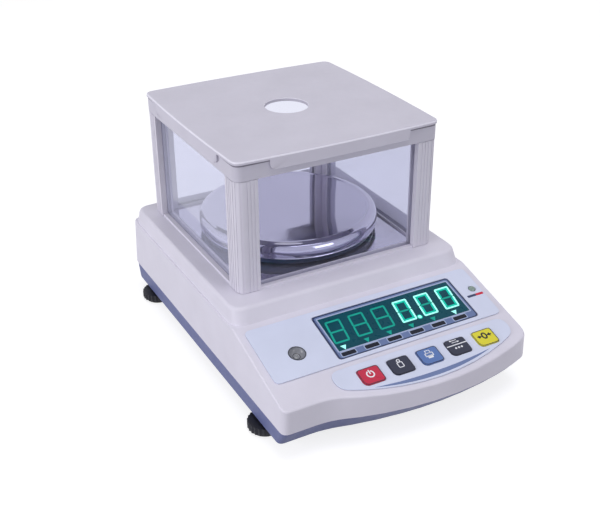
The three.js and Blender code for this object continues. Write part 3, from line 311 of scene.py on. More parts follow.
finish = {
    "casing": makeFinish("ivoryCasing", tone(222, 219, 232), 0.42),
    "tray": makeFinish("blueTray", tone(103, 110, 155), 0.5, shine=0.2),
    "shield": makeFinish("greyShield", tone(205, 202, 216), 0.4),
    # the shield's grey painted lighter on the posts, making up for the shade that their flutes catch
    "shieldPost": makeFinish("postGreyPaintedLighter", tone(221, 218, 230), 0.4),
    # painted highlight: a lighter copy of the shield's grey for the lid's rounded top edge and the lips'
    # lower edges
    "edgeHighlight": makeFinish("paintedEdgeHighlight", tone(232, 230, 242), 0.3),
    # painted shadow: a darker grey standing in for the shade under the lid's overhang
    "seamShadow": makeFinish("shadedSeam", tone(150, 147, 160), 0.6),
    "glass": makeGlass("tintedGlass"),
    "steel": makeFinish("polishedSteel", tone(206, 203, 219), 0.06, patch=14, uneven=0.02, grain=1500,
                        bump=0.003, depth=0.00001, spread=0.03, metal=1),
    "floorSteel": makeFinish("floorSteel", tone(226, 223, 236), 0.14, patch=22, uneven=0.05, grain=500,
                             bump=0.01, depth=0.00002, stretch=(1, 6, 1), metal=0.85),
    "carrier": makeFinish("navyCarrier", tone(52, 62, 84), 0.22),
    "knob": makeFinish("blackKnob", tone(24, 25, 36), 0.4, grain=1800, bump=0.2),
    "rubber": makeFinish("blackRubber", tone(30, 30, 33), 0.85, grain=1500, bump=0.35),
    "overlay": makeFinish("paleOverlay", tone(215, 221, 242), 0.4, grain=3200, bump=0.06),
    "swoosh": makeFinish("blueSwoosh", tone(112, 128, 172), 0.4, grain=3200, bump=0.06),
    "bezel": makeFinish("navyBezel", tone(54, 64, 100), 0.3),
    "bezelBand": makeFinish("blueBand", tone(104, 122, 166), 0.35),
    "bezelLine": makeFinish("bezelLine", tone(168, 182, 214), 0.35),
    "lcd": makeFinish("tealDisplay", tone(14, 74, 88), 0.3, patch=60, uneven=0.12, shine=0.12),
    "segmentDim": makeFinish("dimSegment", tone(26, 158, 140), 0.4, glow=0.2, shine=0.1),
    "segmentHalo": makeFinish("haloSegment", tone(14, 190, 166), 0.4, glow=0.3, shine=0.1),
    "segmentLit": makeFinish("litSegment", tone(165, 255, 238), 0.3, glow=0.42, shine=0.1),
    "labelBox": makeFinish("blackLabel", tone(20, 24, 40), 0.35, shine=0.2),
    "keyRed": makeFinish("redKey", tone(198, 44, 74), 0.36, grain=3000, bump=0.06),
    "keyDark": makeFinish("darkKey", tone(48, 52, 72), 0.36, grain=3000, bump=0.06),
    "keyBlue": makeFinish("blueKey", tone(92, 122, 182), 0.36, grain=3000, bump=0.06),
    "keyYellow": makeFinish("yellowKey", tone(226, 217, 60), 0.36, grain=3000, bump=0.06),
    "keyEdge": makeFinish("keyEdge", tone(38, 38, 54), 0.4),
    "symbolLight": makeFinish("lightSymbol", tone(240, 242, 248), 0.45),
    "symbolDark": makeFinish("darkSymbol", tone(26, 26, 36), 0.45),
    "markRed": makeFinish("redMark", tone(206, 40, 66), 0.4),
    "indicator": makeFinish("indicatorDome", tone(126, 146, 138), 0.15, coat=0.6),
    "ring": makeFinish("levelRing", tone(58, 62, 72), 0.3),
    "vial": makeFinish("vialLiquid", tone(138, 140, 148), 0.2, patch=220, uneven=0.12, coat=0.3),
    "bubble": makeFinish("vialBubble", tone(150, 152, 158), 0.12, coat=0.4),
    "board": makeFinish("circuitBoard", tone(34, 108, 62), 0.45, patch=120, uneven=0.12, grain=900,
                        bump=0.2, depth=0.0001),
    "aluminium": makeFinish("milledAluminium", tone(188, 190, 196), 0.32, patch=40, uneven=0.04, grain=700,
                            bump=0.15, depth=0.00005, spread=0.08, stretch=(1, 8, 1), metal=1),
    "zinc": makeFinish("zincSteel", tone(166, 168, 174), 0.38, patch=90, uneven=0.1, grain=500,
                       depth=0.00005, spread=0.08, metal=1),
    "battery": makeFinish("batteryCase", tone(52, 55, 64), 0.55),
    "plastic": makeFinish("blackPlastic", tone(28, 28, 34), 0.5),
    "gold": makeFinish("contactGold", tone(222, 186, 110), 0.3, metal=1),
}
print("finishes made")


# Working steps used by every piece
def clearSelection():
    if bpy.context.object and bpy.context.object.mode != "OBJECT":
        bpy.ops.object.mode_set(mode="OBJECT")
    bpy.ops.object.select_all(action="DESELECT")


def pickUp(piece):
    clearSelection()
    piece.select_set(True)
    bpy.context.view_layer.objects.active = piece


def editAll(piece, kind="FACE"):
    pickUp(piece)
    bpy.ops.object.mode_set(mode="EDIT")
    bpy.ops.mesh.select_mode(type=kind)
    bpy.ops.mesh.select_all(action="SELECT")


def selectFaces(piece, test):
    # test gets each face's middle, in mm, and its normal
    bpy.ops.mesh.select_mode(type="FACE")
    bpy.ops.mesh.select_all(action="DESELECT")
    form = bmesh.from_edit_mesh(piece.data)
    for face in form.faces:
        face.select_set(bool(test(face.calc_center_median() / mm, face.normal)))
    form.select_flush_mode()
    bmesh.update_edit_mesh(piece.data)


def selectEdges(piece, test, least=20):
    # test gets each edge's middle, in mm, and its direction; edges flatter than least degrees are passed over
    bpy.ops.mesh.select_mode(type="EDGE")
    bpy.ops.mesh.select_all(action="DESELECT")
    form = bmesh.from_edit_mesh(piece.data)
    count = 0
    for edge in form.edges:
        if len(edge.link_faces) != 2 or edge.calc_face_angle(0) < math.radians(least):
            continue
        first, second = (vertex.co for vertex in edge.verts)
        if test((first + second) / 2 / mm, (second - first).normalized()):
            edge.select_set(True)
            count += 1
    form.select_flush_mode()
    bmesh.update_edit_mesh(piece.data)
    return count


def roundEdges(piece, width, steps, test, least=20):
    # rounds the chosen edges of the piece in hand
    pickUp(piece)
    bpy.ops.object.mode_set(mode="EDIT")
    if selectEdges(piece, test, least):
        bpy.ops.mesh.bevel(offset=width * mm, segments=steps, affect="EDGES", clamp_overlap=True)
    bpy.ops.object.mode_set(mode="OBJECT")


def copyOfNode(node, name):
    # a copy of the node's mesh with its loose triangles joined and its flat faces cleaned
    piece = bpy.data.objects.new(name, cadNodes[node].data.copy())
    piece.data.name = name
    piece.data.materials.clear()
    bpy.context.scene.collection.objects.link(piece)
    pickUp(piece)
    if piece.data.has_custom_normals:
        bpy.ops.mesh.customdata_custom_splitnormals_clear()
    editAll(piece, "VERT")
    bpy.ops.mesh.remove_doubles(threshold=sameSpot * mm)
    bpy.ops.mesh.dissolve_limited(angle_limit=math.radians(flatTurn))
    bpy.ops.object.mode_set(mode="OBJECT")
    return piece


def settle(piece, place=None):
    # puts the piece's place into its mesh
    pickUp(piece)
    if place is not None:
        piece.matrix_world = place @ piece.matrix_world
    bpy.ops.object.transform_apply(location=True, rotation=True, scale=True)
    return piece


def raisePlate(height):
    # gives the flat face in hand its thickness
    bpy.ops.mesh.select_mode(type="FACE")
    bpy.ops.mesh.select_all(action="SELECT")
    bpy.ops.mesh.extrude_region_move(TRANSFORM_OT_translate={"value": (0, 0, height * mm)})
    bpy.ops.mesh.select_all(action="SELECT")
    bpy.ops.mesh.normals_make_consistent(inside=False)
    bpy.ops.object.mode_set(mode="OBJECT")


def useModifier(piece, kind, **values):
    pickUp(piece)
    modifier = piece.modifiers.new(kind.title(), kind)
    for name, value in values.items():
        setattr(modifier, name, value)
    bpy.ops.object.modifier_apply(modifier=modifier.name)


def joinPieces(pieces, name):
    clearSelection()
    for piece in pieces:
        piece.select_set(True)
    bpy.context.view_layer.objects.active = pieces[0]
    if len(pieces) > 1:
        bpy.ops.object.join()
    whole = bpy.context.object
    whole.name = name
    whole.data.name = name
    return whole


def another(piece, name):
    # a copy with its own mesh
    twin = piece.copy()
    twin.data = piece.data.copy()
    twin.name = name
    twin.data.name = name
    bpy.context.scene.collection.objects.link(twin)
    return twin


def paintFaces(piece, materials, test):
    # the first material goes on the whole piece, the second on the faces that pass the test
    piece.data.materials.clear()
    for material in materials:
        piece.data.materials.append(finish[material])
    pickUp(piece)
    bpy.ops.object.mode_set(mode="EDIT")
    selectFaces(piece, test)
    piece.active_material_index = len(materials) - 1
    bpy.ops.object.material_slot_assign()
    bpy.ops.object.mode_set(mode="OBJECT")


def complete(piece, body, material, replaces=(), smooth=30, weighted=False):
    pickUp(piece)
    if smooth:
        bpy.ops.object.shade_smooth_by_angle(angle=math.radians(smooth))
    if weighted:
        # large flat faces keep their own shading beside rounded edges
        useModifier(piece, "WEIGHTED_NORMAL", weight=50, keep_sharp=True)
    if material is not None:
        piece.data.materials.clear()
        piece.data.materials.append(finish[material])
    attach(piece, body)
    if replaces:
        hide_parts(*replaces)
    return piece


# Sloped panel: places on it are x to the right, s down the slope and a height out of its face
panel = {"front": -50.9, "shoulder": 59.7, "slope": 15.1, "sheetTop": 0.9, "keyTop": 1.6, "print": 0.06,
         "printBase": 0.85}
panelPlace = Matrix.Translation((0, panel["front"] * mm, panel["shoulder"] * mm)) @ Matrix.Rotation(
    math.radians(panel["slope"]), 4, "X")
panelOut = panelPlace.to_3x3() @ Vector((0, 0, 1))


# Base casings: each outer edge lies past x to either side, or past y at the front or the rear
casing = {
    "topEdge": 2.4, "top": 70.4, "topPast": (80, -40, 128),
    "panelEdge": 3.2, "panelPast": (90, -119, math.inf), "panelReach": 0.3, "panelStart": -50,
    "footEdge": 1.6, "footPast": (90.5, -math.inf, 134), "footStart": -52,
    "seamEdge": 0.5, "seam": 23.2, "seamPast": (91.5, -121, 135),
    "railEdge": 0.35, "rail": 72,
}


def isPast(middle, side, front, rear):
    return abs(middle.x) > side or middle.y < front or middle.y > rear


def makeCasing():
    shell = copyOfNode("upper_housing", "casingShell")

    def onTopEdge(middle, way):
        lying = abs(way.z) < 0.1 and abs(middle.z - casing["top"]) < sameHeight
        return lying and isPast(middle, *casing["topPast"])

    def onPanelSide(middle, way):
        slopeZ = panel["shoulder"] + (middle.y - panel["front"]) * math.tan(math.radians(panel["slope"]))
        onSlope = middle.y < casing["panelStart"] and abs(middle.z - slopeZ) < casing["panelReach"]
        return onSlope and isPast(middle, *casing["panelPast"])

    def onFoot(middle, way):
        onShoulder = middle.y > casing["footStart"] and abs(middle.z - panel["shoulder"]) < sameHeight
        return onShoulder and isPast(middle, *casing["footPast"])

    def onSeam(middle, way):
        return abs(middle.z - casing["seam"]) < sameHeight and isPast(middle, *casing["seamPast"])

    def onRail(middle, way):
        return abs(middle.z - casing["rail"]) < sameHeight

    for edge, steps, test in (
        ("topEdge", 4, onTopEdge), ("panelEdge", 5, onPanelSide), ("footEdge", 2, onFoot),
        ("seamEdge", 2, onSeam), ("railEdge", 2, onRail),
    ):
        roundEdges(shell, casing[edge], steps, test)
    complete(shell, "base", "casing", ["upper_housing"], weighted=True)


tray = {"bottomEdge": 1.6, "bottom": 9.2, "bottomPast": (90, -100, 133), "rimEdge": 0.4, "rim": 22.9}


def makeTray():
    dish = copyOfNode("lower_tray", "trayShell")
    roundEdges(dish, tray["bottomEdge"], 3, lambda middle, way: (
        abs(middle.z - tray["bottom"]) < sameHeight and isPast(middle, *tray["bottomPast"])))
    roundEdges(dish, tray["rimEdge"], 2, lambda middle, way: abs(middle.z - tray["rim"]) < sameHeight)
    complete(dish, "base", "tray", ["lower_tray"], weighted=True)


makeCasing()
makeTray()
print("casings made")


# Wind shield
shield = {
    "y": 46.5,
    "frameTop": 162.9, "frameEdge": 0.9, "frameSeam": 1.1, "framePast": 75, "seamPast": 74,
    "lidLow": 163.2, "lidTop": 165.5, "lidEdge": 1.1,
    "holeEdge": 0.5, "holeRadius": 17,
    "lipLow": 156.8, "lipHalf": 53, "lipCorner": 3, "lipEdge": 0.7, "lipFlare": 1.013, "lipHighlightReach": 1.2,
    "lipPast": 78, "lipOutside": 78.4, "cornerPast": 77,
}


post = {
    "inTurn": ("front_left", "front_right", "rear_right", "rear_left"),
    "half": 77.2, "size": 16, "leg": 9.5, "corner": 6, "cornerSteps": 12,
    "low": 70.7, "high": 151.3,
    "slotNear": 4.5, "slotFar": 8.1, "slotEnd": 12.8,
    "cornerFlutes": [(1, 1), (4, 5), (8, 9), (12, 12)],
    "cornerShoulder": 0.12, "cornerDepth": 0.3,
    "faceFlutes": [7.9, 10.4, 12.9], "faceFluteWidth": 0.9, "faceFluteDepth": 0.3,
    "endEdge": 0.3, "endReach": 0.5,
}


def cutWith(piece, cutters):
    for cutter in cutters:
        useModifier(piece, "BOOLEAN", object=cutter, operation="DIFFERENCE", solver="EXACT")
        bpy.data.objects.remove(cutter)


def blockBetween(name, low, high):
    # a cutting block from one corner to the other, in mm
    clearSelection()
    size = Vector(high) - Vector(low)
    bpy.ops.mesh.primitive_cube_add(size=1, location=(Vector(low) + Vector(high)) / 2 * mm)
    block = bpy.context.object
    block.name = name
    block.scale = size * mm
    return settle(block)


def makePost():
    # the front left post, about the shield's own axis
    out, size = -post["half"], post["size"]
    clearSelection()
    middle = (out + size / 2) * mm
    bpy.ops.mesh.primitive_plane_add(size=size * mm, location=(middle, middle, post["low"] * mm))
    piece = bpy.context.object
    bpy.ops.object.mode_set(mode="EDIT")
    bpy.ops.mesh.select_mode(type="VERT")
    bpy.ops.mesh.select_all(action="DESELECT")
    form = bmesh.from_edit_mesh(piece.data)
    for vertex in form.verts:
        vertex.select_set(vertex.co.x < 0 and vertex.co.y < 0)
    bmesh.update_edit_mesh(piece.data)
    bpy.ops.mesh.bevel(offset=post["corner"] * mm, segments=post["cornerSteps"], affect="VERTICES")
    raisePlate(post["high"] - post["low"])
    settle(piece)
    step = math.pi / 2 / post["cornerSteps"]
    for first, last in post["cornerFlutes"]:
        # each flute takes a few of the corner's facets, counted from the left face
        bpy.ops.object.mode_set(mode="EDIT")

        def onFlute(centre, normal):
            if abs(normal.z) > 0.5 or normal.x > 0.01 or normal.y > 0.01:
                return False
            turn = math.atan2(-normal.y, -normal.x) / step
            return first <= turn <= last + 1 and centre.x < out + size / 2 and centre.y < out + size / 2
        selectFaces(piece, onFlute)
        bpy.ops.mesh.inset(thickness=post["cornerShoulder"] * mm)
        bpy.ops.mesh.extrude_region_shrink_fatten(
            TRANSFORM_OT_shrink_fatten={"value": -post["cornerDepth"] * mm})
        bpy.ops.object.mode_set(mode="OBJECT")
    near, far, end = (out + post[name] for name in ("slotNear", "slotFar", "slotEnd"))
    leg, past = out + post["leg"], out + size + 1
    low, high = post["low"] - 1, post["high"] + 1
    side, into = post["faceFluteWidth"] / 2, out + post["faceFluteDepth"]
    for middle in post["faceFlutes"]:
        middle += out
        cutWith(piece, [
            blockBetween("fluteCutter", (middle - side, out - 1, low), (middle + side, into, high)),
            blockBetween("fluteCutter", (out - 1, middle - side, low), (into, middle + side, high)),
        ])
    cutWith(piece, [
        blockBetween("legCutter", (leg, leg, low), (past, past, high)),
        blockBetween("slotCutter", (end, near, low), (past, far, high)),
        blockBetween("slotCutter", (near, end, low), (far, past, high)),
    ])
    last = out + size - post["endReach"]
    roundEdges(piece, post["endEdge"], 2, lambda centre, way: (
        abs(way.z) > 0.9 and (centre.x > last or centre.y > last)), 60)
    return piece


def makePosts():
    model = makePost()
    for turn, place in enumerate(post["inTurn"]):
        twin = another(model, "shieldPost." + place)
        quarter = Matrix.Rotation(turn * math.pi / 2, 4, "Z")
        twin.data.transform(Matrix.Translation((0, shield["y"] * mm, 0)) @ quarter)
        complete(twin, "base", "shieldPost", ["shield_post_" + place], 25, weighted=True)
    bpy.data.objects.remove(model)


def fromShield(middle):
    # distance from the shield's axis, measured square
    return max(abs(middle.x), abs(middle.y - shield["y"]))


def makeFrame():
    ring = copyOfNode("shield_frame", "shieldFrame")
    top, past = shield["frameTop"], shield["framePast"]
    roundEdges(ring, shield["frameEdge"], 3, lambda middle, way: (
        middle.z < top - 1 and abs(way.z) < 0.1 and fromShield(middle) > past))
    roundEdges(ring, shield["frameSeam"], 1, lambda middle, way: (
        middle.z > top - 0.1 and fromShield(middle) > past))
    # painted shadow under the lid's overhang, on the frame's top chamfer
    paintFaces(ring, ("shield", "seamShadow"), lambda middle, way: (
        fromShield(middle) > shield["seamPast"] and middle.z > top - shield["frameSeam"]
        and 0.2 < way.z < 0.95))
    complete(ring, "base", None, ["shield_frame"], weighted=True)


def makeLid():
    lid = copyOfNode("shield_lid", "shieldLid")
    y, top, lip = shield["y"], shield["lidTop"], shield["lipHalf"]

    def onLipCorner(middle, way):
        # the short edges across a lip's lower corners
        alongX = abs(way.y) > 0.9 and abs(abs(middle.x) - lip) < 0.2
        alongY = abs(way.x) > 0.9 and abs(abs(middle.y - y) - lip) < 0.2
        onLip = middle.z < shield["lipLow"] + 0.1 and fromShield(middle) > shield["cornerPast"]
        return onLip and (alongX or alongY)

    def onLipFoot(middle, way):
        return middle.z < shield["lipLow"] + 0.1 and fromShield(middle) > shield["lipOutside"]

    def onLipOutline(middle, way):
        return middle.z < shield["lidLow"] - 0.2 and fromShield(middle) > shield["lipOutside"]

    def onTopEdge(middle, way):
        return middle.z > top - 0.1 and math.hypot(middle.x, middle.y - y) > shield["holeRadius"]

    roundEdges(lid, shield["lipCorner"], 6, onLipCorner)
    # the lips stand out a little at their lower edges
    editAll(lid)
    selectEdges(lid, onLipFoot, 0)
    flare = shield["lipFlare"]
    bpy.ops.transform.resize(value=(flare, flare, 1), center_override=(0, y * mm, 0))
    bpy.ops.object.mode_set(mode="OBJECT")
    roundEdges(lid, shield["lipEdge"], 3, onLipOutline, 40)
    roundEdges(lid, shield["lidEdge"], 4, onTopEdge)
    roundEdges(lid, shield["holeEdge"], 3, lambda middle, way: middle.z > top - 0.1)

    # painted highlight on the lid's rounded top edge and the lips' lower edges, in a lighter grey
    def getsPaintedHighlight(middle, way):
        onTop = middle.z > top - shield["lidEdge"] and 0.1 < way.z < 0.9
        onLip = middle.z < shield["lipLow"] + shield["lipHighlightReach"] and -0.9 < way.z < -0.1
        return onTop or (onLip and fromShield(middle) > shield["lipPast"])

    paintFaces(lid, ("shield", "edgeHighlight"), getsPaintedHighlight)
    complete(lid, "lid", None, ["shield_lid"], weighted=True)


makePosts()
makeFrame()
makeLid()
print("shield made")


# Pan and carrier, spun from their sections
pan = {
    "steps": 96,
    "section": [
        (0, 87.2), (40, 87.2), (58.6, 87.2), (59.4, 87.25), (60.2, 87.5), (60.9, 87.5), (61.7, 87.3),
        (62.5, 87.0), (63.2, 86.95), (64.2, 86.6), (65.2, 85.7), (65.9, 84.5), (66.3, 83.2), (66.5, 81.8),
        (66.5, 80.3), (66.3, 79), (66.0, 77.8), (65.9, 77.0), (66.2, 76.7), (66.1, 76.5), (65.5, 76.55),
        (65.1, 77.2), (65.2, 79), (65.4, 80.3), (65.4, 81.8), (65.1, 83.1), (64.5, 84.3), (63.6, 85.3),
        (62.3, 85.9), (60, 86.0), (40, 86.0), (0, 86.0),
    ],
}
carrier = {
    "section": [
        (0, 71.6), (58, 71.6), (62.9, 71.6), (63.9, 72.1), (64.3, 73.0), (64.3, 79.6), (63.9, 80.6),
        (63, 81.2), (56, 81.2), (55.2, 80.6), (20, 80.6), (19.4, 81.2), (0, 81.2),
    ],
}


def spinSection(name, section, steps, y):
    clearSelection()
    bpy.ops.mesh.primitive_plane_add(size=mm, location=(0, 0, 0))
    disc = bpy.context.object
    disc.name = name
    disc.data.name = name
    bpy.ops.object.mode_set(mode="EDIT")
    bpy.ops.mesh.select_mode(type="VERT")
    bpy.ops.mesh.select_all(action="SELECT")
    bpy.ops.mesh.merge(type="CENTER")
    bpy.ops.transform.translate(value=(section[0][0] * mm, y * mm, section[0][1] * mm))
    for before, after in zip(section, section[1:]):
        step = ((after[0] - before[0]) * mm, 0, (after[1] - before[1]) * mm)
        bpy.ops.mesh.extrude_region_move(TRANSFORM_OT_translate={"value": step})
    bpy.ops.mesh.select_all(action="SELECT")
    bpy.ops.mesh.spin(steps=steps, angle=math.tau, center=(0, y * mm, 0), axis=(0, 0, 1))
    bpy.ops.mesh.select_all(action="SELECT")
    bpy.ops.mesh.remove_doubles(threshold=sameSpot * mm)
    bpy.ops.mesh.normals_make_consistent(inside=False)
    bpy.ops.object.mode_set(mode="OBJECT")
    return disc


panDisc = spinSection("weighingPan", pan["section"], pan["steps"], shield["y"])
complete(panDisc, "pan", "steel", ["weighing_pan"], 60)
carrierDisc = spinSection("panCarrier", carrier["section"], pan["steps"], shield["y"])
complete(carrierDisc, "weighing_side", "carrier", ["pan_carrier"])
print("pan made")


# Levelling feet
feet = {"edge": 0.5, "low": 1.5, "high": 8}


def makeFeet():
    for place in corners:
        knob = copyOfNode("foot_knob_" + place, "footKnob." + place)
        roundEdges(knob, feet["edge"], 2, lambda middle, way: (
            abs(way.z) < 0.1 and feet["low"] < middle.z < feet["high"]), 40)
        complete(knob, "knob_" + place, "knob", ["foot_knob_" + place])


makeFeet()
print("feet made")


# Flat pieces, drawn in the panel's own frame
def flatFace(name, left, right, high, low, base, corner, steps):
    # a face with rounded corners, left in edit mode
    clearSelection()
    middle = ((left + right) / 2 * mm, -(high + low) / 2 * mm, base * mm)
    bpy.ops.mesh.primitive_plane_add(size=1, location=middle)
    face = bpy.context.object
    face.name = name
    face.data.name = name
    face.scale = ((right - left) * mm, (low - high) * mm, 1)
    settle(face)
    editAll(face, "VERT")
    if corner:
        bpy.ops.mesh.bevel(offset=corner * mm, segments=steps, affect="VERTICES", clamp_overlap=True)
    return face


def flatPlate(name, left, right, high, low, base, top, corner=0, steps=4):
    plate = flatFace(name, left, right, high, low, base, corner, steps)
    raisePlate(top - base)
    return plate


def flatRing(name, left, right, high, low, width, base, top, corner, steps):
    # a line of the given width round a rectangle
    ring = flatFace(name, left, right, high, low, base, corner, steps)
    bpy.ops.mesh.select_mode(type="FACE")
    bpy.ops.mesh.select_all(action="SELECT")
    bpy.ops.mesh.inset(thickness=width * mm)
    bpy.ops.mesh.delete(type="FACE")
    raisePlate(top - base)
    return ring


def roundPlate(name, x, s, radius, base, top, sides=32, stretch=(1, 1), hole=0):
    clearSelection()
    bpy.ops.mesh.primitive_circle_add(vertices=sides, radius=radius * mm, fill_type="NGON",
                                      location=(x * mm, -s * mm, base * mm))
    disc = bpy.context.object
    disc.name = name
    disc.data.name = name
    disc.scale = (*stretch, 1)
    settle(disc)
    editAll(disc)
    if hole:
        bpy.ops.mesh.inset(thickness=(radius - hole) * mm)
        bpy.ops.mesh.delete(type="FACE")
    raisePlate(top - base)
    return disc


keys = {
    "names": ["power", "cal", "print", "unit", "tare"],
    "finishes": ["keyRed", "keyDark", "keyBlue", "keyDark", "keyYellow"],
    "slots": ["key_red", "key_dark", "key_blue", "key_dark", "key_yellow"],
    "first": -28,
    "pitch": 22.4,
    "s": 67.6,
    "border": 0.55,
    "half": (7.8, 5.7),
    # the points of the solid's two lower corners, from the key's middle
    "leftArc": [(-1.3, 5.7), (-6.17, 4.08), (-7.8, -0.8)],
    "rightArc": [(7.8, 3.9), (7.35, 5.25), (6, 5.7)],
    "reach": 0.5, "arcPast": 2,
    # how they are drawn out down the slope, above the housing
    "drop": 1.7, "leftCorner": 3.4, "rightCorner": 1.8, "cornerEdge": 0.8,
    "ledge": (0.45, 0.5),
}
keyOpening = {"gap": 0.28, "above": 5, "overlap": 2, "depth": (-0.05, 1.2), "cornerSteps": 8}


def keyMiddle(name):
    return keys["first"] + keys["names"].index(name) * keys["pitch"]


def openingCutters(name):
    # two blocks that widen the lower part of the key's opening, one for each corner's radius
    (wide, tall), gap, x, s = keys["half"], keyOpening["gap"], keyMiddle(name), keys["s"]
    high, low = s - keyOpening["above"], s + tall + gap + keys["drop"]
    cutters = []
    for left, right, radius in (
        (x - wide - gap, x + keyOpening["overlap"], keys["leftCorner"]),
        (x - keyOpening["overlap"], x + wide + gap, keys["rightCorner"]),
    ):
        block = flatPlate("openingCutter", left, right, high, low, *keyOpening["depth"], radius + gap,
                          keyOpening["cornerSteps"])
        cutters.append(settle(block, panelPlace))
    return cutters


def cornerPoints():
    # each point of the cap's lower corners and where it moves to, from the key's middle
    left, low, radius = -keys["half"][0], keys["half"][1] + keys["drop"], keys["leftCorner"]
    bite = radius * (1 - math.sqrt(0.5))
    arc = [(left + radius, low), (left + bite, low - bite), (left, low - radius)]
    return list(zip(keys["leftArc"], arc)) + [((x, s), (x, s + keys["drop"])) for x, s in keys["rightArc"]]


overlaySheets = {"edge": 0.15}


def makeOverlays():
    for node, name in (("display_overlay", "displayOverlay"), ("keypad_overlay", "keypadOverlay")):
        sheet = copyOfNode(node, name)
        if name == "keypadOverlay":
            for key in keys["names"]:
                cutWith(sheet, openingCutters(key))
        roundEdges(sheet, overlaySheets["edge"], 2, lambda middle, way: True, 60)
        complete(sheet, "base", "overlay", [node], weighted=True)


swoosh = {
    "outerRadius": 164, "outerLow": 83.9, "innerRadius": 339, "innerLow": 80.6, "x": 14.1, "sides": 256,
    "base": 0.87,
}


def makeSwoosh():
    # a crescent: one large disc cut by a larger one
    base, top = swoosh["base"], panel["sheetTop"] + panel["print"]
    crescent = roundPlate("keypadSwoosh", swoosh["x"], swoosh["outerLow"] - swoosh["outerRadius"],
                          swoosh["outerRadius"], base, top, swoosh["sides"])
    cutWith(crescent, [roundPlate("swooshCutter", swoosh["x"], swoosh["innerLow"] - swoosh["innerRadius"],
                                  swoosh["innerRadius"], base - 1, top + 1, swoosh["sides"] * 2)])
    complete(settle(crescent, panelPlace), "base", "swoosh")


# Left, right, top and bottom of each printed field, then the digits
display = {
    "windowEdge": 0.2,
    "band": (-38.9, 68.9, 10.9, 48.7), "bandCorner": 1.6,
    "line": (-37.9, 67.9, 12.0, 44.0), "lineWidth": 1.0, "lineCorner": 1,
    "face": (-36.9, 66.9, 13.0, 43.0), "faceCorner": 0.3,
    "allSegments": "1111111", "zero": "1111110", "middleBar": "0000001",
    "digits": 6, "firstLit": 3, "firstDigit": -29.3, "digitPitch": 17.55,
    "digitTop": 16.9, "digitHeight": 19.8, "digitWidth": 11.6, "slant": 2.4,
    "stroke": 1.4, "litStroke": 1.25, "haloStroke": 2.7, "litLift": 0.02,
    "segmentGap": 0.12, "segmentCorner": 0.46,
    "triangleS": 40.4, "triangleRadius": 4.2 / 1.7, "triangleShift": -2.6, "litTriangles": (0, 5),
    "point": (7.0, 35.6), "pointRadius": 1.3, "pointHalo": 2.0,
}
labels = {"shift": -2.2, "width": 10.4, "top": 44.6, "low": 47.9, "corner": 0.7, "gap": 0.6, "line": 0.7,
          "lineCorner": 0.9}


def digitX(index):
    return display["firstDigit"] + index * display["digitPitch"]


def makeSegments(x, shown, stroke, base, top):
    # shown has a 1 for each bar to draw: top, top right, low right, bottom, low left, top left, middle
    wide, tall = display["digitWidth"], display["digitHeight"]
    left, right = x - wide / 2, x + wide / 2
    high, low = display["digitTop"], display["digitTop"] + tall
    middle = (high + low) / 2
    gap, half, quarter = stroke * display["segmentGap"], stroke / 2, stroke / 4

    def lying(s):
        return left + gap, right - gap, s - half, s + half

    def upright(across, start, end):
        return across - half, across + half, start + gap, end - gap

    bars = [
        lying(high + half),
        upright(right - half, high + quarter, middle), upright(right - half, middle, low - quarter),
        lying(low - half),
        upright(left + half, middle, low - quarter), upright(left + half, high + quarter, middle),
        lying(middle),
    ]
    return [flatPlate("segment", *bar, base, top, stroke * display["segmentCorner"], 1)
            for bar, show in zip(bars, shown) if show == "1"]


def slantPlace():
    # digits lean to the right by slant over their height
    lean = display["slant"] / display["digitHeight"]
    middle = -(display["digitTop"] + display["digitHeight"] / 2) * mm
    shear = Matrix.Identity(4)
    shear[0][1] = lean
    shear[0][3] = -lean * middle
    return shear


def makeFields():
    window = copyOfNode("display_window", "displayBezel")
    roundEdges(window, display["windowEdge"], 2, lambda middle, way: True, 60)
    complete(window, "base", "bezel", ["display_window"], weighted=True)
    base, top, step = panel["printBase"], panel["sheetTop"] + panel["print"], panel["print"]
    band = flatPlate("bezelBand", *display["band"], base, top, display["bandCorner"], 3)
    complete(settle(band, panelPlace), "base", "bezelBand")
    line = flatRing("bezelLine", *display["line"], display["lineWidth"], base, top + step / 2,
                    display["lineCorner"], 3)
    complete(settle(line, panelPlace), "base", "bezelLine")
    face = flatPlate("displayFace", *display["face"], base, top + step / 3, display["faceCorner"], 2)
    complete(settle(face, panelPlace), "base", "lcd")


def makeDigits():
    low = panel["sheetTop"] + panel["print"]
    high = low + panel["print"]
    litHigh = high + display["litLift"]
    layers = {"dimDigits": [], "digitHalo": [], "litDigits": []}
    for index in range(display["digits"]):
        x = digitX(index)
        if index < display["firstLit"]:
            drawings = [("dimDigits", "allSegments", "stroke", high)]
        else:
            drawings = [
                ("digitHalo", "zero", "haloStroke", high), ("litDigits", "zero", "litStroke", litHigh),
                ("dimDigits", "middleBar", "stroke", high),
            ]
        for layer, shown, stroke, top in drawings:
            for bar in makeSegments(x, display[shown], display[stroke], low, top):
                bar.data.transform(slantPlace())
                layers[layer].append(bar)
        triangle = roundPlate("triangle", 0, 0, display["triangleRadius"], low, litHigh, 3)
        spot = Vector((x + display["triangleShift"], -display["triangleS"], 0)) * mm
        triangle.data.transform(Matrix.Translation(spot) @ Matrix.Rotation(math.pi, 4, "Z"))
        layers["litDigits" if index in display["litTriangles"] else "dimDigits"].append(triangle)
    pointX, pointS = display["point"]
    pointX += digitX(display["firstLit"])
    layers["litDigits"].append(roundPlate("point", pointX, pointS, display["pointRadius"], low, litHigh, 16))
    layers["digitHalo"].append(roundPlate("point", pointX, pointS, display["pointHalo"], low, high, 16))
    for name, material in (
        ("dimDigits", "segmentDim"), ("digitHalo", "segmentHalo"), ("litDigits", "segmentLit"),
    ):
        complete(settle(joinPieces(layers[name], name), panelPlace), "base", material, smooth=0)


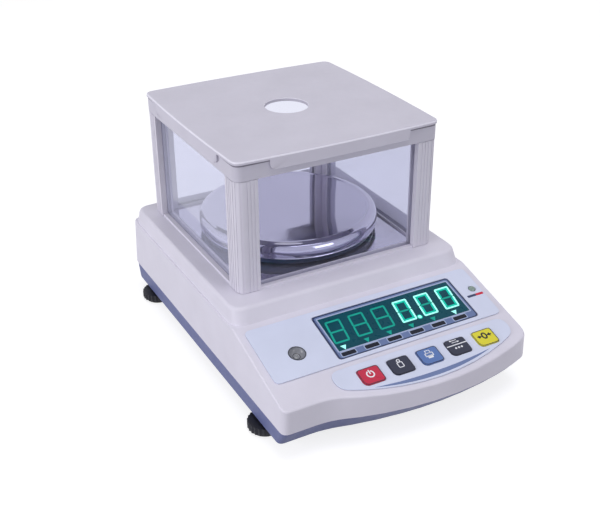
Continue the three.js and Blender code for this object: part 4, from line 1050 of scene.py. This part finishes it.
def makeLabels():
    base, high = panel["printBase"], panel["sheetTop"] + 2 * panel["print"]
    top, bottom, gap = labels["top"], labels["low"], labels["gap"]
    boxes, lines = [], []
    for index in range(display["digits"]):
        x = digitX(index) + labels["shift"]
        left, right = x - labels["width"] / 2, x + labels["width"] / 2
        boxes.append(flatPlate("label", left, right, top, bottom, base, high, labels["corner"], 2))
        lines.append(flatRing("labelLine", left - gap, right + gap, top - gap, bottom + gap, labels["line"],
                              base, high - 0.01, labels["lineCorner"], 2))
    complete(settle(joinPieces(boxes, "labelBoxes"), panelPlace), "base", "labelBox")
    complete(settle(joinPieces(lines, "labelLines"), panelPlace), "base", "bezelLine")


def drawOutCap(cap, x):
    # above the housing the cap is drawn out down the slope, with a smaller arc at its lower left corner
    turn = panelPlace.to_3x3()
    for height in keys["ledge"]:
        editAll(cap)
        bpy.ops.mesh.bisect(plane_co=panelPlace @ Vector((0, 0, height * mm)), plane_no=panelOut,
                            threshold=sameSpot / 2 * mm)
    toPanel = panelPlace.inverted()
    least = sum(keys["ledge"]) / 2 * mm
    for old, new in cornerPoints():
        spot = Vector((x + old[0], -keys["s"] - old[1])) * mm
        bpy.ops.mesh.select_mode(type="VERT")
        bpy.ops.mesh.select_all(action="DESELECT")
        form = bmesh.from_edit_mesh(cap.data)
        for vertex in form.verts:
            place = toPanel @ vertex.co
            vertex.select_set(place.z > least and (place.xy - spot).length < keys["reach"] * mm)
        form.select_flush_mode()
        bmesh.update_edit_mesh(cap.data)
        bpy.ops.transform.translate(value=turn @ Vector((new[0] - old[0], old[1] - new[1], 0)) * mm)
    bpy.ops.mesh.select_all(action="SELECT")
    bpy.ops.mesh.normals_make_consistent(inside=False)
    bpy.ops.object.mode_set(mode="OBJECT")

    def onArc(middle, way):
        place = toPanel @ (middle * mm) / mm
        isLow = -place.y > keys["s"] + keys["arcPast"] and place.z > keys["ledge"][1]
        return isLow and abs(way.dot(panelOut)) > 0.9

    roundEdges(cap, keys["cornerEdge"], 3, onArc, 15)


def makeKeys():
    for name, material, slot in zip(keys["names"], keys["finishes"], keys["slots"]):
        cap = copyOfNode("key_" + name, "keyCap." + name)
        drawOutCap(cap, keyMiddle(name))
        cap.data.materials.append(finish[material])
        cap.data.materials.append(finish["keyEdge"])
        pickUp(cap)
        bpy.ops.object.mode_set(mode="EDIT")
        faceTop = panelPlace @ Vector((0, 0, panel["keyTop"] * mm))
        selectFaces(cap, lambda middle, way: (
            way.dot(panelOut) > 0.99 and (middle * mm - faceTop).dot(panelOut) > -0.1 * mm))
        bpy.context.object.active_material_index = 1
        bpy.ops.object.material_slot_assign()
        bpy.ops.mesh.inset(thickness=keys["border"] * mm)
        bpy.context.object.active_material_index = 0
        bpy.ops.object.material_slot_assign()
        bpy.ops.object.mode_set(mode="OBJECT")
        complete(cap, "key_" + name, None, ["key_" + name])


# Key symbols: fields are left, right, top and bottom from the key's middle, rings are radius and hole
symbols = {
    "low": 1.57, "high": 1.66, "s": 67.2,
    "powerRing": (2.9, 2.0), "powerSunk": 0.3, "powerGap": (0.95, 4), "powerBar": (-0.42, 0.42, -3.1, 0.4),
    "powerCorner": 0.25,
    "weight": (-2.1, 2.1, -1.6, 3.1), "weightCorner": 0.9, "knob": (1.35, 0.75), "knobRise": 2.6,
    "printer": (-3.1, 3.1, -1.2, 1.9), "printerCorner": 0.6, "bodyLine": 0.6,
    "paperIn": (-1.9, 1.9, -3.4, -0.75), "paperOut": (-1.9, 1.9, 1.0, 3.4), "paperLine": 0.5,
    "paperCorner": 0.2,
    "split": (-7.8, 7.8, -0.65, 0.05), "arrowBar": (-2.6, 1.9, -3.5, -3.05), "arrowShift": 0.85,
    "arrowX": (2.6, -0.3), "arrowRise": 3.3, "arrowSize": 0.95,
    "dotDrop": 2.4, "dotPitch": 2.3, "dotRadius": 0.75,
    "zero": (2.9, 1.75), "zeroWidth": 0.74, "zeroBar": (3.4, 5.6), "zeroBarHalf": 0.35,
    "zeroArrow": (3.7, 1.7),
}


def drawnAt(x, field):
    left, right, top, bottom = symbols[field]
    return x + left, x + right, symbols["s"] + top, symbols["s"] + bottom


def arrowHead(x, s, size, turn, low, high):
    head = roundPlate("arrowHead", 0, 0, size, low, high, 3)
    head.data.transform(Matrix.Translation(Vector((x, -s, 0)) * mm) @ Matrix.Rotation(turn, 4, "Z"))
    return head


def finishSymbol(parts, name, key, material):
    complete(settle(joinPieces(parts, name), panelPlace), "key_" + key, material, smooth=0)


def makeSymbols():
    low, high, s = symbols["low"], symbols["high"], symbols["s"]
    x = keyMiddle("power")
    radius, hole = symbols["powerRing"]
    ring = roundPlate("powerRing", x, s + symbols["powerSunk"], radius, low, high, 40, hole=hole)
    half, reach = symbols["powerGap"]
    cutWith(ring, [blockBetween("gapCutter", (x - half, -s, low - 1), (x + half, reach - s, high + 1))])
    bar = flatPlate("powerBar", *drawnAt(x, "powerBar"), low, high, symbols["powerCorner"], 2)
    finishSymbol([ring, bar], "powerSymbol", "power", "symbolLight")

    x = keyMiddle("cal")
    radius, hole = symbols["knob"]
    finishSymbol([
        flatRing("weightBody", *drawnAt(x, "weight"), symbols["bodyLine"], low, high,
                 symbols["weightCorner"], 3),
        roundPlate("weightKnob", x, s - symbols["knobRise"], radius, low, high, 24, hole=hole),
    ], "calSymbol", "cal", "symbolLight")

    x, corner = keyMiddle("print"), symbols["paperCorner"]
    finishSymbol([
        flatRing("printerBody", *drawnAt(x, "printer"), symbols["bodyLine"], low, high,
                 symbols["printerCorner"], 3),
        flatRing("paperIn", *drawnAt(x, "paperIn"), symbols["paperLine"], low, high, corner, 2),
        flatPlate("paperOut", *drawnAt(x, "paperOut"), low, high, corner, 2),
    ], "printSymbol", "print", "symbolLight")

    x = keyMiddle("unit")
    parts = [flatPlate("splitLine", *drawnAt(x, "split"), low, high)]
    reach, back = symbols["arrowX"]
    for side in (-1, 1):
        left, right, top, bottom = drawnAt(x, "arrowBar")
        shift = side * symbols["arrowShift"]
        parts.append(flatPlate("arrowBar", left, right, top + shift, bottom + shift, low, high))
        parts.append(arrowHead(x + side * reach + back, s - symbols["arrowRise"] + shift,
                               symbols["arrowSize"], -side * math.pi / 2, low, high))
    for step in (-1, 0, 1):
        parts.append(roundPlate("countDot", x + step * symbols["dotPitch"], s + symbols["dotDrop"],
                                symbols["dotRadius"], low, high, 16))
    finishSymbol(parts, "unitSymbol", "unit", "symbolLight")

    x = keyMiddle("tare")
    radius, hole = symbols["zero"]
    parts = [roundPlate("zeroRing", x, s, radius, low, high, 32, (symbols["zeroWidth"], 1), hole)]
    half, (reach, size) = symbols["zeroBarHalf"], symbols["zeroArrow"]
    for side in (-1, 1):
        ends = sorted(x + side * end for end in symbols["zeroBar"])
        parts.append(flatPlate("zeroBar", *ends, s - half, s + half, low, high))
        parts.append(arrowHead(x + side * reach, s, size, side * math.pi / 2, low, high))
    finishSymbol(parts, "tareSymbol", "tare", "symbolDark")


# Spirit level: sections are distances from its axis and heights, and the ring's ends where it starts
level = {
    "x": -63,
    "s": 34.2,
    "steps": 48,
    "ring": [(5.35, 0.2), (5.95, 0.2), (5.95, 0.95), (5.8, 1.1), (5.5, 1.1), (5.35, 0.95), (5.35, 0.2)],
    "dish": [(0, -2.6), (2.2, -2.3), (3.8, -1.5), (4.8, -0.4), (5.3, 0.75), (5.5, 0.75), (5.5, -2.8),
             (0, -2.8)],
    "bubble": [(0, -1.95), (1.0, -2.0), (1.7, -2.2), (1.9, -2.5), (0, -2.65)],
    "circle": (2.6, 2.35),
    "circleHeight": (-2.35, -2.05),
}


def makeLevel():
    place = panelPlace @ Matrix.Translation(Vector((level["x"], -level["s"], 0)) * mm)
    for part, material, hidden in (
        ("ring", "ring", []), ("dish", "vial", ["level_vial"]), ("bubble", "bubble", []),
    ):
        piece = spinSection("level" + part.title(), level[part], level["steps"], 0)
        complete(settle(piece, place), "base", material, hidden, 40)
    outer, inner = level["circle"]
    circle = roundPlate("levelCircle", 0, 0, outer, *level["circleHeight"], 32, hole=inner)
    complete(settle(circle, place), "base", "symbolDark", smooth=0)


chargeMark = {"s": (30.7, 32.7), "dark": (73.2, 80.2), "red": (80.2, 86.4), "corner": 0.3}


def makeChargeMark():
    low, high = panel["printBase"], panel["sheetTop"] + panel["print"]
    for part, material in (("dark", "bezel"), ("red", "markRed")):
        mark = flatPlate("chargeMark." + part, *chargeMark[part], *chargeMark["s"], low, high,
                         chargeMark["corner"], 2)
        complete(settle(mark, panelPlace), "base", material)


makeOverlays()
makeSwoosh()
makeFields()
makeDigits()
makeLabels()
makeKeys()
makeSymbols()
makeLevel()
makeChargeMark()
print("panel made")


# Rear sockets: places on the rear face are x, a height over the sockets' middles and a distance outwards
socket = {
    "face": 135.9,
    "edge": 0.3,
    "port": {"x": 18, "z": 36.15, "shellHalf": (9.4, 4.1), "shellWall": 0.6, "shellProud": 0.9,
             "shellLow": -1, "shellCorner": 1.8,
             "tongueHalf": (7.9, 2.7), "tongueDepth": (-6.6, -1.6), "tongueCorner": 1.2,
             "rows": ((5, 1.3), (4, -1.3)), "pinRadius": 0.5, "pin": (-1.7, -0.8), "pinPitch": 2.74,
             "nutShift": 12.5, "nutRadius": 2.7, "nutHole": 1.3, "nutProud": 1.3},
    "inlet": {"x": -26, "z": 35.4, "pinRadius": 0.98, "pin": (-9.9, -0.9), "rimRadius": 3.7, "rimHole": 3.05,
              "rim": (-0.2, 0.3)},
}


def onRearFace(middle, way):
    return middle.y > socket["face"] - 0.1


def rearPlace(part):
    return Matrix.Translation(Vector((part["x"], socket["face"], part["z"])) * mm) @ Matrix.Rotation(
        -math.pi / 2, 4, "X")


def makePort():
    port = socket["port"]
    place = rearPlace(port)
    body = copyOfNode("serial_port", "portBody")
    roundEdges(body, socket["edge"], 2, onRearFace, 60)
    complete(body, "base", "zinc", ["serial_port"])
    across, tall = port["shellHalf"]
    shell = flatRing("portShell", -across, across, -tall, tall, port["shellWall"], port["shellLow"],
                     port["shellProud"], port["shellCorner"], 5)
    complete(settle(shell, place), "base", "zinc")
    across, tall = port["tongueHalf"]
    tongue = flatPlate("portTongue", -across, across, -tall, tall, *port["tongueDepth"], port["tongueCorner"])
    complete(settle(tongue, place), "base", "plastic")
    pins = []
    for count, row in port["rows"]:
        for index in range(count):
            x = (index - (count - 1) / 2) * port["pinPitch"]
            pins.append(roundPlate("pin", x, row, port["pinRadius"], *port["pin"], 12))
    complete(settle(joinPieces(pins, "portPins"), place), "base", "gold")
    for side, name in ((-1, "left"), (1, "right")):
        nut = roundPlate("portNut." + name, side * port["nutShift"], 0, port["nutRadius"], 0,
                         port["nutProud"], 6, hole=port["nutHole"])
        complete(settle(nut, place), "base", "zinc", smooth=0)


def makeInlet():
    inlet = socket["inlet"]
    place = rearPlace(inlet)
    body = copyOfNode("power_inlet", "inletBody")
    roundEdges(body, socket["edge"], 2, onRearFace, 60)
    complete(body, "base", "plastic", ["power_inlet"])
    pin = roundPlate("inletPin", 0, 0, inlet["pinRadius"], *inlet["pin"], 20)
    roundEdges(pin, socket["edge"], 2, lambda middle, way: True, 60)
    complete(settle(pin, place), "base", "gold")
    rim = roundPlate("inletRim", 0, 0, inlet["rimRadius"], *inlet["rim"], 32, hole=inlet["rimHole"])
    complete(settle(rim, place), "base", "plastic")


makePort()
makeInlet()
print("sockets made")


# Case screws with a cross recess in each head
screw = {"low": 9.5, "headEdge": 0.5, "crossHalf": 1.9, "crossWidth": 0.35, "crossDepth": 1.1}


def makeScrews():
    for place in corners:
        piece = copyOfNode("case_screw_" + place, "caseScrew." + place)
        low, half, side = screw["low"], screw["crossHalf"], screw["crossWidth"]
        roundEdges(piece, screw["headEdge"], 3, lambda middle, way: middle.z < low + 0.1, 40)
        points = [vertex.co / mm for vertex in piece.data.vertices]
        x, y = ((min(values) + max(values)) / 2 for values in (
            [point.x for point in points], [point.y for point in points]))
        top = low + screw["crossDepth"]
        cutWith(piece, [
            blockBetween("crossCutter", (x - half, y - side, low - 1), (x + half, y + side, top)),
            blockBetween("crossCutter", (x - side, y - half, low - 1), (x + side, y + half, top)),
        ])
        complete(piece, "base", "zinc", ["case_screw_" + place])


makeScrews()
print("screws made")


# CAD nodes that stay, each with its finish
keptNodes = {
    "glass": ["glass_pane_front", "glass_pane_right", "glass_pane_rear", "glass_pane_left"],
    "floorSteel": ["chamber_floor"],
    "rubber": [part + place for part in ("foot_pad_", "pan_cushion_") for place in corners],
    "aluminium": ["pan_support", "load_cell"],
    "zinc": ["load_cell_mount", "chassis_plate", "overload_stop"],
    "board": ["keypad_board", "main_board", "socket_board"],
    "lcd": ["display_module"],
    "indicator": ["charge_indicator"],
    "plastic": ["level_holder", "buzzer"],
    "battery": ["battery_pack"],
}
for material, names in keptNodes.items():
    for name in names:
        data = cadNodes[name].data
        data.materials.clear()
        data.materials.append(finish[material])
print("CAD nodes finished")
